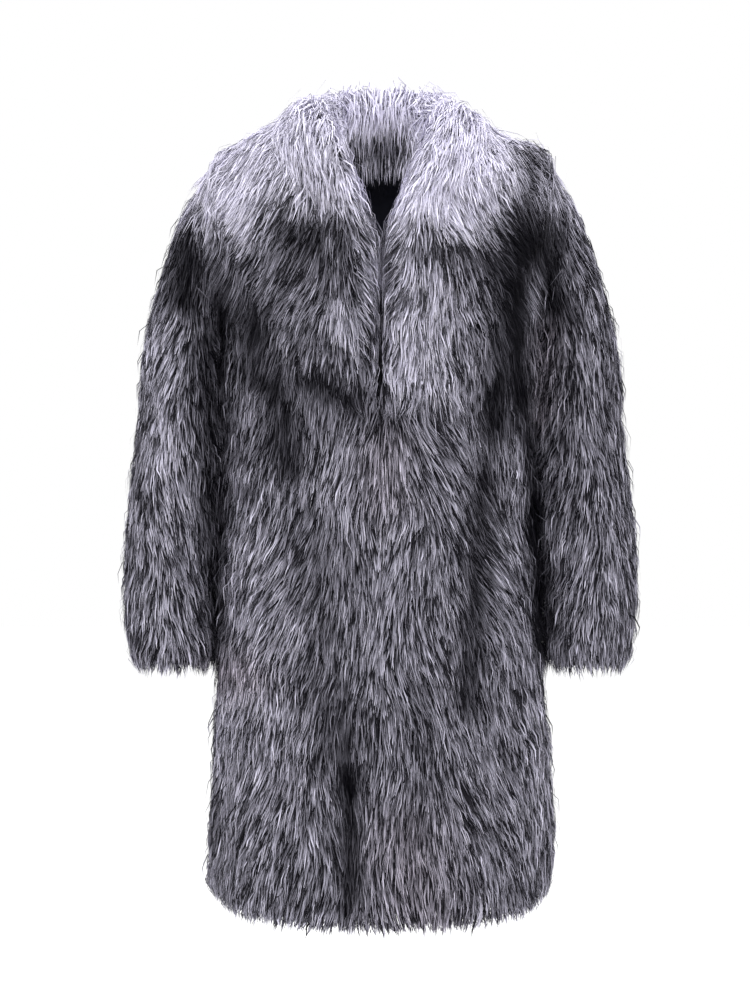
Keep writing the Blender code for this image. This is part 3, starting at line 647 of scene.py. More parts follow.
def collar_panel(name, side):
    """Grid of half the collar, from the lower front corner at u 0 to the centre back at u 1, and
    from the foot at v 0 over the stand, the roll and the fall to the outer edge at v 1."""
    last = len(COLLAR_ROWS) - 1
    way = np.linspace(0.0, 1.0, COLLAR_COLUMNS)
    foot_x, foot_rise, edge_x, edge_rise, stand, roll = rows_at(COLLAR_ROWS, way * last)
    foot_x, edge_x = np.maximum(foot_x, SEAM_GAP / 2), np.maximum(edge_x, SEAM_GAP / 2)

    def across(share):
        """Points this share of the way over the body, one column of them for each place."""
        columns = [a[:, None] for a in (foot_x, edge_x, foot_rise, edge_rise)]
        x, rise = blend(columns[0], columns[1], share), blend(columns[2], columns[3], share)
        return on_body(x, rise, side)

    line, normals = across(np.linspace(0.0, 1.0, 9)[None, :])
    inner, normal = line[:, 0], normals[:, 0]
    span = np.linalg.norm(np.diff(line, axis=1), axis=-1).sum(axis=1)
    foot_share = COLLAR_FOOT_THICKNESS / span
    foot = across(foot_share[:, None])[0][:, 0]
    out = unit(line[:, 2] - inner)
    up = blend(normal, UP, ramp(way, *UPRIGHT_WAYS)[:, None])
    up = up - out * dot(up, out) * SQUARED_UP
    up = unit(up - out * LEAN_BACK * ramp(stand / LOW_STAND)[:, None])
    out = unit(out - up * dot(out, up))
    rise_steps = np.linspace(0.0, STAND_TOP, STAND_STEPS)[None, :, None]
    stand_part = foot[:, None] + up[:, None] * stand[:, None, None] * rise_steps
    centre = foot + up * stand[:, None] + out * roll[:, None]
    behind = ramp(way, *ROLLED_WAYS)
    turn = np.radians(blend(*ROLL_DEGREES, behind))[:, None] * np.linspace(0.0, 1.0, ROLL_STEPS)
    roll_part = centre[:, None] + roll[:, None, None] * (
        up[:, None] * np.sin(turn)[..., None] - out[:, None] * np.cos(turn)[..., None]
    )
    start = foot_share + 2 * roll / span
    steps = np.linspace(FALL_START, 1.0, FALL_STEPS)[None, :]
    landing = blend(*COLLAR_LANDINGS, behind)[:, None]
    lifted = (stand + ROLL_LIFT * roll)[:, None] * ramp(steps / landing, 1.0, 0.0)
    fall_up = unit(up + out * FALL_LEAN)
    fall = across(blend(start[:, None], 1.0, steps))[0] + fall_up[:, None] * lifted[..., None]
    path = np.concatenate([stand_part, roll_part, fall], axis=1)
    path_normals = unit(np.cross(np.gradient(path, axis=0), np.gradient(path, axis=1))) * -side
    path_normals[-1, :, 0] = 0.0
    path_normals = unit(path_normals)
    length = lengths_down(path)
    depth = blend(COLLAR_FOOT_THICKNESS, COLLAR_PILE * uneven(path), ramp(length / FOOT_REACH))
    left = rounding(length[:, -1:] - length, COLLAR_ROUNDING)
    left = left * rounding(CORNER_START + way * WAY_LENGTH, COLLAR_ROUNDING)[:, None]
    past_crest = length - length[:, STAND_STEPS + ROLL_STEPS // 2][:, None]
    path, lift, left, past_crest = even_rows(length, path, path_normals * depth[..., None], left, past_crest)
    at_foot = ramp(lengths_down(path), FOOT_REACH, 0.0) * ramp(way, *FOOT_WAYS)[:, None]
    panel = Surface(name, path, lift * (1 + FOOT_FULLNESS * at_foot)[..., None], left)
    panel.softness, panel.droop, panel.cloth_ends = SOFTNESS, DROOP, (0.0, CLOTH_END)
    panel.past_crest, panel.climb = past_crest, lengths_down(path)
    panel.way = way[:, None] + 0 * past_crest
    return panel


collar_left, collar_right = collar_panel("collar_left", 1), collar_panel("collar_right", -1)
SURFACES = (front_left, front_right, back, sleeve_left, sleeve_right, collar_left, collar_right)
for surface in SURFACES:
    low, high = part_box(surface.name)
    outer = (surface.skin + surface.lift * surface.left[..., None]).reshape(-1, 3)
    worst = max(np.abs(outer.min(axis=0) - low).max(), np.abs(outer.max(axis=0) - high).max())
    print(surface.name, "outer face against the solid's box, mm:", round(1000 * float(worst), 1))

# %% [markdown]
# ## Backing and lining
#
# Knitted backing with its lining is under 2 mm thick. It is a closed thin shell on the skin: the
# outer face is what shows between parted hair, so it is near black, and the inner face is a dark
# satin lining, seen down the neck, at the hem and up the cuffs.

# %% Backing shells
CLOTH_THICKNESS = 0.0016
SHELL_STEPS = {"back": (41, 56), "front": (23, 56), "sleeve": (29, 44), "collar": (34, 26)}


def add_mesh(name, points, faces, sizes):
    """A mesh object from a flat array of points, a flat array of corner indices and face sizes."""
    mesh = bpy.data.meshes.new(name)
    mesh.vertices.add(len(points))
    mesh.vertices.foreach_set("co", points.astype(np.float32).ravel())
    mesh.loops.add(len(faces))
    mesh.loops.foreach_set("vertex_index", faces.astype(np.int32))
    mesh.polygons.add(len(sizes))
    starts = np.concatenate([[0], np.cumsum(sizes)[:-1]])
    mesh.polygons.foreach_set("loop_start", starts.astype(np.int32))
    mesh.update(calc_edges=True)
    mesh.shade_smooth()
    piece = bpy.data.objects.new(name, mesh)
    bpy.context.scene.collection.objects.link(piece)
    return piece


def grid_faces(nu, nv, closed):
    """Corner indices of the cells of a grid whose point (i, j) has number i nv + j."""
    i, j = np.meshgrid(np.arange(nu if closed else nu - 1), np.arange(nv - 1), indexing="ij")
    k = (i + 1) % nu
    return np.stack([i * nv + j, k * nv + j, k * nv + j + 1, i * nv + j + 1], axis=-1).reshape(-1, 4)


def make_backing(surface):
    """The closed shell: outer and inner grid of points and the strips that join their rims."""
    nu, nv = SHELL_STEPS[surface.kind]
    u = np.linspace(0.0, 1.0, nu)[: nu - surface.closed]
    uu, vv = np.meshgrid(u, np.linspace(*surface.cloth_ends, nv), indexing="ij")
    inner = surface.sample(surface.skin, uu.ravel(), vv.ravel())
    outer = inner + unit(surface.sample(surface.lift, uu.ravel(), vv.ravel())) * CLOTH_THICKNESS
    count, nu = len(inner), len(u)
    top = grid_faces(nu, nv, surface.closed)
    edges = np.concatenate([top[:, [a, (a + 1) % 4]] for a in range(4)])
    key = np.sort(edges, axis=1)
    _, index, times = np.unique(key, axis=0, return_inverse=True, return_counts=True)
    rim = edges[times[index.ravel()] == 1]
    strips = np.stack([rim[:, 1], rim[:, 0], rim[:, 0] + count, rim[:, 1] + count], axis=1)
    faces = np.concatenate([top, top[:, ::-1] + count, strips])
    normal = np.cross(outer[top[:, 2]] - outer[top[:, 0]], outer[top[:, 3]] - outer[top[:, 1]])
    lift = outer[top[:, 0]] - inner[top[:, 0]]
    if dot(normal, lift).mean() < 0:
        faces = faces[:, ::-1]
    points, sizes = np.concatenate([outer, inner]), np.full(len(faces), 4)
    piece = add_mesh(surface.name + "_backing", points, faces.ravel(), sizes)
    lining = np.zeros(len(faces), np.int32)
    lining[len(top): 2 * len(top)] = 1
    return piece, lining


backings = {}
for surface in SURFACES:
    backings[surface.name], lining_faces = make_backing(surface)
    backings[surface.name].data.materials.append(None)
    backings[surface.name].data.materials.append(None)
    backings[surface.name].data.polygons.foreach_set("material_index", lining_faces)
    print(surface.name, len(lining_faces), "faces in the shell")

# %% [markdown]
# ## How light the fur is
#
# The pile is tipped, and paler over the shoulders and the top of the collar than the mid grey below:
# partly its own silver tipping and partly painted light from above. There are dark patches where one
# pelt-like block of pile meets the next, painted shade along the creases, beside and under the
# collar's edges and where body and sleeves press together, and a painted highlight down one sleeve.
# The shade goes from 0, black, to 1, white. It starts from the height alone, and soft strokes lighten
# or darken it.

# %% Shade tables
# height, shade: paler higher up, partly the pile's own silver tipping and partly painted light from above
SHADE_BY_HEIGHT = np.array((
    (-1.03, 0.39), (-0.9, 0.4), (-0.7, 0.405), (-0.5, 0.405), (-0.36, 0.385),
    (-0.2, 0.37), (-0.142, 0.375), (-0.115, 0.42), (-0.088, 0.6), (-0.052, 0.73),
    (0.0, 0.83), (0.06, 0.88), (0.11, 0.89),
))
# x, z of one end, x, z of the other, radius, change of shade
FRONT_SHADES = in_metres((
    # collar: darker strokes beside and under its edges and at its lower tips are painted shadow; the
    # lighter ones carry both its paler tipping and painted light from above
    (-130, -5, -100, -60, 50, -0.08), (-188, -80, -152, -122, 20, 0.17), (-100, -112, -46, -114, 26, -0.15),
    (-115, -150, -80, -146, 28, -0.05), (-30, -60, -4, -180, 15, 0.2), (-205, -150, -150, -240, 22, -0.13),
    (-50, -215, -42, -250, 16, 0.2), (-82, -300, -36, -322, 17, -0.24), (-10, -180, 0, -300, 14, 0.09),
    (22, -85, 26, -300, 18, 0.2), (40, -70, 100, -112, 24, 0.24), (50, -146, 130, -152, 14, -0.13),
    (66, -175, 66, -300, 32, 0.16), (120, -140, 150, -190, 18, -0.07), (205, -10, 232, -85, 24, -0.22),
    (180, -20, 174, -130, 24, -0.36), (60, 20, 120, -40, 40, 0.05), (160, -160, 140, -350, 23, -0.2),
    # fronts: painted shade along the creases and under the collar's edge, and paler strokes between them
    (-150, -700, -130, -900, 50, 0.05), (-120, -480, -130, -620, 40, 0.03), (138, -310, 128, -420, 14, -0.08),
    (122, -420, 103, -700, 18, -0.2), (-125, -300, -112, -400, 24, -0.2), (-150, -220, -150, -290, 22, -0.14),
    (-85, -480, -60, -620, 26, -0.07), (-75, -670, -60, -760, 18, -0.12), (-40, -690, -42, -800, 15, -0.14),
    (-40, -790, -36, -940, 16, -0.24), (-55, -400, -45, -480, 26, 0.06), (-170, -480, -165, -700, 26, 0.08),
    (-200, -700, -195, -800, 20, 0.1), (50, -690, 45, -860, 18, -0.06), (20, -400, 12, -560, 18, 0.05),
    (190, -680, 190, -900, 18, 0.06),
    # sleeves: painted shadow of the collar on their tops and at their inner edges, and a painted
    # highlight down the right sleeve
    (-280, -225, -272, -400, 20, 0.15), (-275, -400, -270, -640, 30, 0.05),
    (-245, -115, -250, -195, 18, -0.25), (-228, -240, -222, -600, 11, -0.16),
    (209, -100, 215, -200, 18, -0.22), (232, -185, 245, -225, 12, -0.12), (218, -520, 222, -640, 12, -0.12),
    # painted shadow where body and sleeves press together, with a dark line on the body where the gap shows
    (165, -183, 173, -310, 10, -0.2), (173, -310, 188, -457, 8, -0.24), (188, -457, 196, -640, 9, -0.34),
    (-197, -190, -198, -480, 9, -0.26), (-198, -480, -208, -665, 10, -0.36),
))
# on the back: painted shade along the creases, under the collar's edge and on the sleeves' tops, and paler
# strokes between the creases
BACK_SHADES = in_metres((
    (10, -420, -10, -660, 30, -0.12), (-106, -330, -122, -560, 24, -0.16), (112, -380, 106, -700, 22, -0.14),
    (56, -720, 60, -930, 18, -0.12), (-54, -780, -48, -940, 16, -0.14), (70, -330, 60, -480, 26, 0.08),
    (-60, -360, -56, -560, 24, 0.07), (-160, -620, -164, -860, 24, 0.08), (162, -640, 160, -880, 24, 0.07),
    (-180, -200, -80, -250, 26, -0.18), (180, -190, 90, -255, 24, -0.16), (250, -120, 262, -190, 22, -0.2),
    (-262, -150, -250, -230, 22, -0.18), (272, -260, 276, -420, 20, 0.1),
))
SHADE_RANGE = (0.06, 0.95)
FUR_TINT = np.array((0.97, 0.94, 1.12))
ROOT_COLOUR = np.array((0.0018, 0.0015, 0.0036))
WARM_TINT = np.array((1.09, 0.98, 0.95))
# the same, with a share of the warm tint
WARM_PATCHES = in_metres((
    (6, -362, 6, -430, 28, 0.35), (207, -220, 207, -324, 22, 0.9), (-210, -650, -160, -650, 30, 0.5),
    (30, -860, 50, -960, 50, 0.4),
))


def shade_at(points):
    """Shade by height, plus the strokes of the front or of the back."""
    shade = rows_at(SHADE_BY_HEIGHT, points[:, 2], by_first=True)[1]
    return np.clip(shade + front_or_back(points, FRONT_SHADES, BACK_SHADES), *SHADE_RANGE)


for height in (0.0, -0.2, -0.6):
    print("shade at the centre front,", height, "m:", shade_at(np.array([(0.0, -0.15, height)])).round(2))

# %% [markdown]
# ## Which way the fur lies
#
# It was brushed down, so gravity gives the main direction. It leans away from the centre front and
# from the middle of each sleeve, with swirls between, and on the collar it spreads from the highest
# point of each roll.

# %% Lie of the pile
# x, z of one end, x, z of the other, radius, lean to +X for each metre down
FRONT_LEANS = in_metres((
    (-180, -340, -100, -560, 50, -0.26), (-170, -620, -150, -800, 50, -0.12),
    (-60, -640, -50, -900, 30, 0.18), (70, -360, 130, -560, 45, 0.4), (20, -480, 10, -640, 22, -0.22),
    (150, -650, 150, -900, 45, 0.16),
))
SLEEVE_LEANS = in_metres((
    (215, -170, 250, -270, 30, 0.4), (208, -370, 225, -430, 30, -0.4), (-275, -200, -245, -300, 30, -0.25),
    (-250, -420, -260, -520, 30, 0.2),
))
BACK_LEANS = in_metres((
    (150, -340, 110, -560, 50, 0.34), (-150, -320, -100, -540, 50, -0.38), (30, -560, 20, -800, 35, 0.2),
    (-60, -620, -70, -860, 35, -0.2),
))
# the highest point of each roll, which the hair lies away from, fully so past this distance
WHORLS, WHORL_SIZE = {1: np.array((0.104, -0.014, 0.050)), -1: np.array((-0.066, -0.003, 0.082))}, 0.035
WHORL_ENDS, BEHIND = (-0.04, -0.12), (0.03, 0.08)  # heights in front, and depths, where it ends
FAN, FAN_START, FAN_RANGE = 7.5, 0.045, (-0.15, 0.85)  # lean on the fall for each metre outwards
# on the collar: past the crest and round the way where its inside starts; climb and way by the opening
NECK_DEPTH, NECK_WAYS = (0.0, -0.014), (0.60, 0.72)
OPENING_CLIMB, OPENING_WAYS = (0.034, 0.010), ((0.15, 0.30), (0.72, 0.60))
# pulls of gravity and brushing on those directions, and the way by the opening
SPREAD_PULL, OVER_DROOP = np.array((0.0, -0.15, -0.30)), 0.3
INSIDE_PULL, OPENING_WAY = np.array((0.0, -0.25, -0.2)), np.array((-0.5, 0.0, -1.0))
# on the sleeve: lean for each metre from its middle, lean outwards, lean to +Y for each metre back
SLEEVE_FAN, SLEEVE_LEAN, SLEEVE_FORE = 4.0, 0.5, 15 / 14
FAN_HEIGHTS, LEAN_HEIGHTS = (-0.10, -0.30), (-0.30, -0.05)
CENTRE_LEAN, CENTRE_WIDTH = 0.16, 0.06  # lean away from the centre line, and where it is reached
SWIRL_WAVES = ((0.13, (31, 11.9, 17), 1), (0.10, (-37, 16.1, 23), 2), (0.07, (53, 49.7, 71), 0))


def down_with(lean, fore=0.0):
    """Straight down, but for a lean to +X and one to +Y."""
    return np.stack([lean, fore + 0 * lean, 0 * lean - 1], axis=-1)


def lie_on_collar(surface, points, u, v, astray, lean):
    """Away from the whorl, then down the fall in a fan; over the roll behind and down inside it."""
    side = surface.side
    spread = (points + astray - WHORLS[side]) / WHORL_SIZE
    spread = spread / np.maximum(np.linalg.norm(spread, axis=1, keepdims=True), 1.0)
    spread = spread + SPREAD_PULL
    fan = side * np.clip(FAN * (np.abs(points[:, 0]) - FAN_START), *FAN_RANGE) + lean
    direction = blend(unit(spread), unit(down_with(fan)), ramp(points[:, 2:], *WHORL_ENDS))
    over = unit(surface.sample(surface.dv, u, v))
    direction = blend(direction, over - OVER_DROOP * UP, ramp(points[:, 1:2], *BEHIND))
    grids = (surface.past_crest, surface.way, surface.climb)
    past_crest, way, climb = (surface.sample(grid, u, v) for grid in grids)
    at_opening = ramp(climb, *OPENING_CLIMB)
    for limits in OPENING_WAYS:
        at_opening = at_opening * ramp(way, *limits)
    direction = blend(direction, OPENING_WAY * (side, 1, 1), at_opening)
    inside = ramp(past_crest + astray[:, 2:], *NECK_DEPTH) * ramp(way, *NECK_WAYS)
    return blend(direction, INSIDE_PULL - over, inside)


def lie_of(surface, points, u, v, astray):
    """World directions of the hair: down with the lean, or away from the whorl on the collar. There
    each strand sees its place this far astray, so that partings close over."""
    x, y, z = points.T
    lean = waves(points, SWIRL_WAVES)
    if surface.kind == "collar":
        return lie_on_collar(surface, points, u, v, astray, lean)
    if surface.kind == "sleeve":
        out = x - rows_at(SLEEVE_SECTIONS, z, by_first=True)[1] * surface.side
        lean = lean + SLEEVE_FAN * out * ramp(z, *FAN_HEIGHTS)
        lean = lean + SLEEVE_LEAN * surface.side * ramp(z, *LEAN_HEIGHTS)
        return down_with(lean + near_strokes(points, SLEEVE_LEANS), SLEEVE_FORE * y)
    lean = lean + CENTRE_LEAN * np.tanh(x / CENTRE_WIDTH)
    return down_with(lean + front_or_back(points, FRONT_LEANS, BACK_LEANS))


print("strokes of shade:", len(FRONT_SHADES) + len(BACK_SHADES), "of lean:",
      len(FRONT_LEANS) + len(SLEEVE_LEANS) + len(BACK_LEANS))

# %% [markdown]
# ## Locks and hairs
#
# Long acrylic pile gathers into locks: neighbouring hairs lean to a shared tip, and dark gaps open
# between the tips. There are small locks and large ones, and the strands of a lock share part of
# what is drawn at random.

# %% Locks
LOCK_SIZES, LOCK_PULLS = (0.0060, 0.0170), (0.50, 0.25)
MOST_PULL, PULL_POWER = 0.010, 1.4  # metres at most, and how late in the length the pull comes
LOCK_LENGTH = 1.5  # for a width of 1


def lock_numbers(surface, u, v, size):
    """The lock that each place belongs to: cells of the grid's lengths, half as long again down the
    pile, with borders that wander by sine waves."""
    a = surface.value(surface.across, u, v) / size
    b = surface.value(surface.along, u, v) / (LOCK_LENGTH * size)
    a, b = a + 0.45 * np.sin(1.7 * b) + 0.2 * np.sin(4.1 * b + a), b + 0.45 * np.sin(1.3 * a + 1)
    key = np.floor(a).astype(np.int64) * 100003 + np.floor(b).astype(np.int64)
    return np.unique(key, return_inverse=True)[1].ravel()


def shared(draw, lock, *spread):
    """One random number for each lock, the same for all its strands."""
    return draw(*spread, size=lock.max() + 1)[lock]


def mean_in(values, group):
    """For each row the mean of the rows of its group."""
    count = np.bincount(group)[:, None]
    return (np.stack([np.bincount(group, column) for column in values.T], axis=1) / count)[group]


def gathered(line, locks, shares):
    """The lines with their tips pulled to the mean tip of their locks, and the rest less and less."""
    for lock, pull in zip(locks, LOCK_PULLS):
        target = mean_in(line[:, -1], lock) - line[:, -1]
        pull = pull * np.minimum(1.0, MOST_PULL / np.maximum(np.linalg.norm(target, axis=1), 1e-6))
        line = line + target[:, None] * pull[:, None, None] * shares[None, :, None] ** PULL_POWER
    return line


for size in LOCK_SIZES:
    trial = lock_numbers(back, *back.roots(15000, np.random.default_rng(1)), size)
    print("locks of", size, "m on the back:", trial.max() + 1)

# %% [markdown]
# ### How high and how long
#
# No two hairs end level. Each tip's height and length is one part its own and one part its lock's.
# A few hairs stand proud, and all are cut short near a hem or cuff so that they pass it unevenly.

# %% Heights and lengths
TIP_LEAST, TIP_OWN, TIP_OF_LOCK, TIP_OF_LARGE, TIP_RANGE = 0.55, 0.42, 0.12, 0.07, (0.35, 1.15)
STRAY_SHARE, STRAY_LIFT = 0.08, 0.60  # of hairs that stand proud, and by how much of the pile
# the pile of body and sleeve meets here: distance out, width, heights where it fades, extra height
ARM_GAP, ARM_GAP_WIDTH, ARM_GAP_LIFT = 0.2060, 0.022, 1.5
ARM_GAP_ENDS = ((-0.650, -0.615), (-0.20, -0.28))
LENGTH_LEAST, LENGTH_OF_LOCK, LENGTH_OWN, LENGTH_LIMIT = 0.80, 0.20, 0.18, 1.6
# how far tips pass the solid's hem or cuff, how far they vary, and the shortest strand there
OVERHANG, UNEVEN_ENDS, SHORTEST = 0.012, 0.034, 0.006
# x, z of one end, x, z of the other, radius, change of the collar's pile
COLLAR_LOFTS = in_metres((
    (60, 30, 6, -110, 18, 0.35), (-78, 30, -12, -110, 18, 0.3), (-15, 95, 60, 100, 30, 0.55),
    (-70, 80, -50, 85, 20, 0.2), (98, 90, 165, 45, 28, -0.65), (-98, 90, -170, 35, 28, -0.65),
))


def heights(middle, collar, small, large, rng):
    """Height of each tip as a share of the pile. All are higher where body and sleeve press
    together, and the collar has its own lofts."""
    count = len(middle)
    tip = TIP_LEAST + TIP_OWN * rng.random(count) + TIP_OF_LOCK * shared(rng.random, small)
    tip = np.clip(tip + TIP_OF_LARGE * shared(rng.normal, large, 0, 1), *TIP_RANGE)
    tip = tip + STRAY_LIFT * rng.random(count) * (rng.random(count) < STRAY_SHARE)
    meets = np.exp(-(((np.abs(middle[:, 0]) - ARM_GAP) / ARM_GAP_WIDTH) ** 2))
    for limits in ARM_GAP_ENDS:
        meets = meets * ramp(middle[:, 2], *limits)
    return tip * (1 + ARM_GAP_LIFT * meets + collar * near_strokes(middle, COLLAR_LOFTS))


def lengths(to_edge, small, rng):
    """Length of each strand as a share of the piece's, and the metres that a hem or cuff leaves it."""
    count = len(to_edge)
    share = LENGTH_LEAST + LENGTH_OF_LOCK * shared(rng.random, small)
    share = share + LENGTH_OWN * rng.normal(0, 1, count).clip(-LENGTH_LIMIT, LENGTH_LIMIT)
    return share, np.maximum(to_edge + OVERHANG - UNEVEN_ENDS * rng.random(count), SHORTEST)


_, left = lengths(np.full(1000, 0.02), np.arange(1000), np.random.default_rng(1))
print("20 mm from a hem the strands may be", left.min().round(3), "to", left.max().round(3), "m long")


# %% [markdown]
# ### The colour of a strand
#
# Tipped fur is near black at the root and palest at the tip. Some strands stay dark all the way,
# which gives the pile its depth, and fewer do so where it is pale.

# %% Strand colours
# shares of a strand's length, and share of its tip's height by then
LOCK_LEVELS = np.array(((0.0, 0.24, 0.62, 1.0), (0.05, 0.70, 0.98, 1.0)))
HAIR_LEVELS = np.array(((0.08, 0.50, 1.0), (0.30, 0.92, 1.0)))
TIP_LIGHT, TIP_POWER, MOST_LIGHT = 3.1, 2.2, 0.95
# share of the tip's light at each level of a lock: start, growth and power of the shade
UP_THE_STRAND = ((0.02, 0.30, 4), (0.10, 0.74, 3), (0.50, 0.44, 1), (1.0, 0.0, 1))
SHADE_PLACE = 0.45  # of the way from root to tip
# inside the collar's stand: depths where it starts, shade near the crest and deep in the neck, and the depths
# over which it falls to near black, a painted shade down the neck
INSIDE_DEPTH, INSIDE_SHADES, NECK_SHADOW_FADE = (0.0, -0.012), (0.92, 0.12), (-0.054, -0.090)
STRENGTH_OWN, STRENGTH_OF_LOCK = 0.42, 0.22  # spread of the logarithm of a strand's light
DARK_SHARE, DARK_VARIES = 0.38, 0.20  # of strands that stay dark up to the tip
DARK_LIGHT, DARK_SHADES = (0.04, 0.32), (0.45, 0.75)  # their light where the fur is dark or pale
CREST_LIGHT, CREST_HEIGHTS = 0.60, (0.045, 0.085)  # and on the collar's crest


def tones(surface, u, v, line, small, rng):
    """Shade of each strand, and the strength of its light."""
    shade = shade_at(blend(line[:, 0], line[:, -1], SHADE_PLACE))
    if surface.kind == "collar":
        past_crest = surface.value(surface.past_crest, u, v)
        inside = ramp(past_crest, *INSIDE_DEPTH) * ramp(surface.value(surface.way, u, v), *NECK_WAYS)
        # painted shade: inside the stand the fur falls from pale near the crest to near black deep in the
        # neck
        shade = blend(shade, blend(*INSIDE_SHADES, ramp(past_crest, *NECK_SHADOW_FADE)), inside)
    own = rng.normal(0, STRENGTH_OWN, len(line))
    strength = np.exp(own + shared(rng.normal, small, 0, STRENGTH_OF_LOCK))
    dark = blend(*DARK_LIGHT, ramp(shade, *DARK_SHADES))
    dark = blend(dark, CREST_LIGHT, ramp(line[:, -1, 2], *CREST_HEIGHTS))
    dark_share = DARK_SHARE + DARK_VARIES * shared(rng.normal, small, 0, 1)
    return shade, strength * np.where(rng.random(len(line)) < dark_share, dark, 1.0)


def strand_colours(shares, roots, shade, strength):
    """Colour of each strand at shares of its length. The tip's light grows with a power of the
    shade, and so does the share of it that shows further down."""
    tone = np.minimum(TIP_LIGHT * shade**TIP_POWER * strength, MOST_LIGHT)
    stops = np.stack([start + growth * shade**power for start, growth, power in UP_THE_STRAND])
    at = np.interp(shares, LOCK_LEVELS[0], np.arange(4))
    low = np.minimum(at.astype(int), 2)
    light = blend(stops[low], stops[low + 1], (at - low)[:, None]).T * tone[:, None]
    warm = near_strokes(roots, WARM_PATCHES)[:, None] * (roots[:, 1:2] < 0)
    tint = FUR_TINT * blend(1.0, WARM_TINT, np.clip(warm, 0, 1))
    return np.clip(light[..., None] * tint[:, None] + ROOT_COLOUR, 0, 1)


for shade in (0.2, 0.5, 0.8):
    colours = strand_colours(LOCK_LEVELS[0], np.ones((1, 3)), np.array([shade]), np.ones(1))
    print("a strand of shade", shade, "from root to tip:", colours[0, :, 0].round(3))

# %% [markdown]
# ### From the root to the tip
#
# Each strand is a tapered ribbon of five triangles, or three for a hair, rooted on the backing. It
# climbs through the pile in the first third of its length and then lies along it. Flat ribbons need
# far fewer triangles than tubes, and at this size nobody sees that they have no back.

# %% Strand builder
TURN_OF_LOCK, TURN_OWN, TURN_FORE = 0.08, 0.06, 0.08  # spread of the directions about the lie
ASTRAY = 0.008  # spread of the partings on the collar
CURL, CURL_TURNS = 0.0010, (3.5, 6.0)  # metres, and radians over the whole length
TILT, MOST_TILT = 0.5, 1.1  # radians about the strand's own line
WIDTH_LEAST, WIDTH_VARIES = 0.7, 0.6  # shares of the width


def grow(surface, levels, count, length, width, seed, light=1.0):
    """Middle lines, sideways directions, widths, shades and strengths of light of a piece's strands.
    Each step of a line goes on from the last in the direction in which the pile lies there."""
    rng = np.random.default_rng(seed)
    u, v = surface.roots(count, rng)
    middle = surface.sample(surface.middle, u, v)
    small, large = (lock_numbers(surface, u, v, size) for size in LOCK_SIZES)
    turn = shared(rng.normal, small, 0, TURN_OF_LOCK) + rng.normal(0, TURN_OWN, count)
    turn = down_with(turn, TURN_FORE * rng.normal(0, 1, count)) + UP
    tip = heights(middle, surface.kind == "collar", small, large, rng)
    share, left = lengths(surface.value(surface.to_free_edge, u, v), small, rng)
    long = np.minimum(length * share, left)
    astray = rng.normal(0, ASTRAY, (count, 3))
    whole = long / length
    tip = tip * np.minimum(whole, 1.0) ** 0.5
    line, at = [], 0.0
    for share, height in levels.T:
        lie = lie_of(surface, surface.sample(surface.middle, u, v), u, v, astray) + turn
        du, dv = surface.towards(u, v, lie)
        u, v, at = u + du * long * (share - at), v + dv * long * (share - at), share
        line.append(surface.point(u, v, tip * height))
    line = gathered(np.stack(line, axis=1), (small, large), levels[0])
    along = unit(line[:, -1] - line[:, 1])
    sideways = unit(np.cross(along, unit(surface.sample(surface.lift, u, v))))
    curl = rng.normal(0, CURL, (count, 2)) * whole[:, None]
    wave = sum(curl[:, i : i + 1] * np.sin(turns * levels[0]) for i, turns in enumerate(CURL_TURNS))
    line = line + sideways[:, None] * wave[..., None]
    tilt = rng.normal(0, TILT, (count, 1)).clip(-MOST_TILT, MOST_TILT)
    edge = sideways * np.cos(tilt) + unit(np.cross(sideways, along)) * np.sin(tilt)
    shade, strength = tones(surface, u, v, line, small, rng)
    width = width * (WIDTH_LEAST + WIDTH_VARIES * rng.random(count))
    return levels[0], line, edge, width, shade, strength * light


trial = grow(back, LOCK_LEVELS, 500, 0.044, 0.002, seed=1)[1]
steps = np.linalg.norm(np.diff(trial, axis=1), axis=-1)
print("mean length of 500 trial strands:", steps.sum(axis=1).mean().round(4), "m")

# %% [markdown]
# ### Ribbons into a mesh
#
# All strands of a piece become one mesh, written from whole arrays, because a mesh object for each
# strand would be far too slow. The colour is stored at the points, so one material serves them all.

# %% Ribbons into a mesh
TAPER = 0.75  # share of the width that is gone at the tip


def ribbons(shares, line, edge, width, shade, strength):
    """Points, colours and corners of a batch: both edges at every level but the last, then the tip.
    The width falls with the square of the share of the length."""
    count, levels = line.shape[:2]
    half = edge[:, None] * (width[:, None] * (1 - TAPER * shares[:-1] ** 2) / 2)[..., None]
    points = np.concatenate([line[:, :-1] - half, line[:, :-1] + half, line[:, -1:]], axis=1)
    colours = strand_colours(shares, line[:, 0], shade, strength)
    colours = np.concatenate([colours[:, :-1], colours[:, :-1], colours[:, -1:]], axis=1)
    step = np.arange(levels - 2)
    quads = np.stack([step, step + levels - 1, step + levels, step + 1], axis=1).ravel()
    corners = np.concatenate([quads, (levels - 2, 2 * levels - 3, 2 * levels - 2)])
    corners = np.arange(count)[:, None] * (2 * levels - 1) + corners
    sizes = np.tile([4] * (levels - 2) + [3], count)
    return points.reshape(-1, 3), colours.reshape(-1, 3), corners.ravel(), sizes


def make_fur(surface, *batches):
    """One mesh of all batches of ribbons, with the colour as an attribute of its points."""
    points, colours, corners, sizes = zip(*(ribbons(*batch) for batch in batches))
    starts = np.cumsum([0] + [len(p) for p in points])
    corners = np.concatenate([c + start for c, start in zip(corners, starts)])
    piece = add_mesh(surface.name + "_fur", np.concatenate(points), corners, np.concatenate(sizes))
    rgba = np.pad(np.concatenate(colours), ((0, 0), (0, 1)), constant_values=1.0)
    layer = piece.data.color_attributes.new("fur_colour", "FLOAT_COLOR", "POINT")
    layer.data.foreach_set("color", rgba.astype(np.float32).ravel())
    return piece


print("points of a lock and of a hair:", 2 * LOCK_LEVELS.shape[1] - 1, 2 * HAIR_LEVELS.shape[1] - 1)

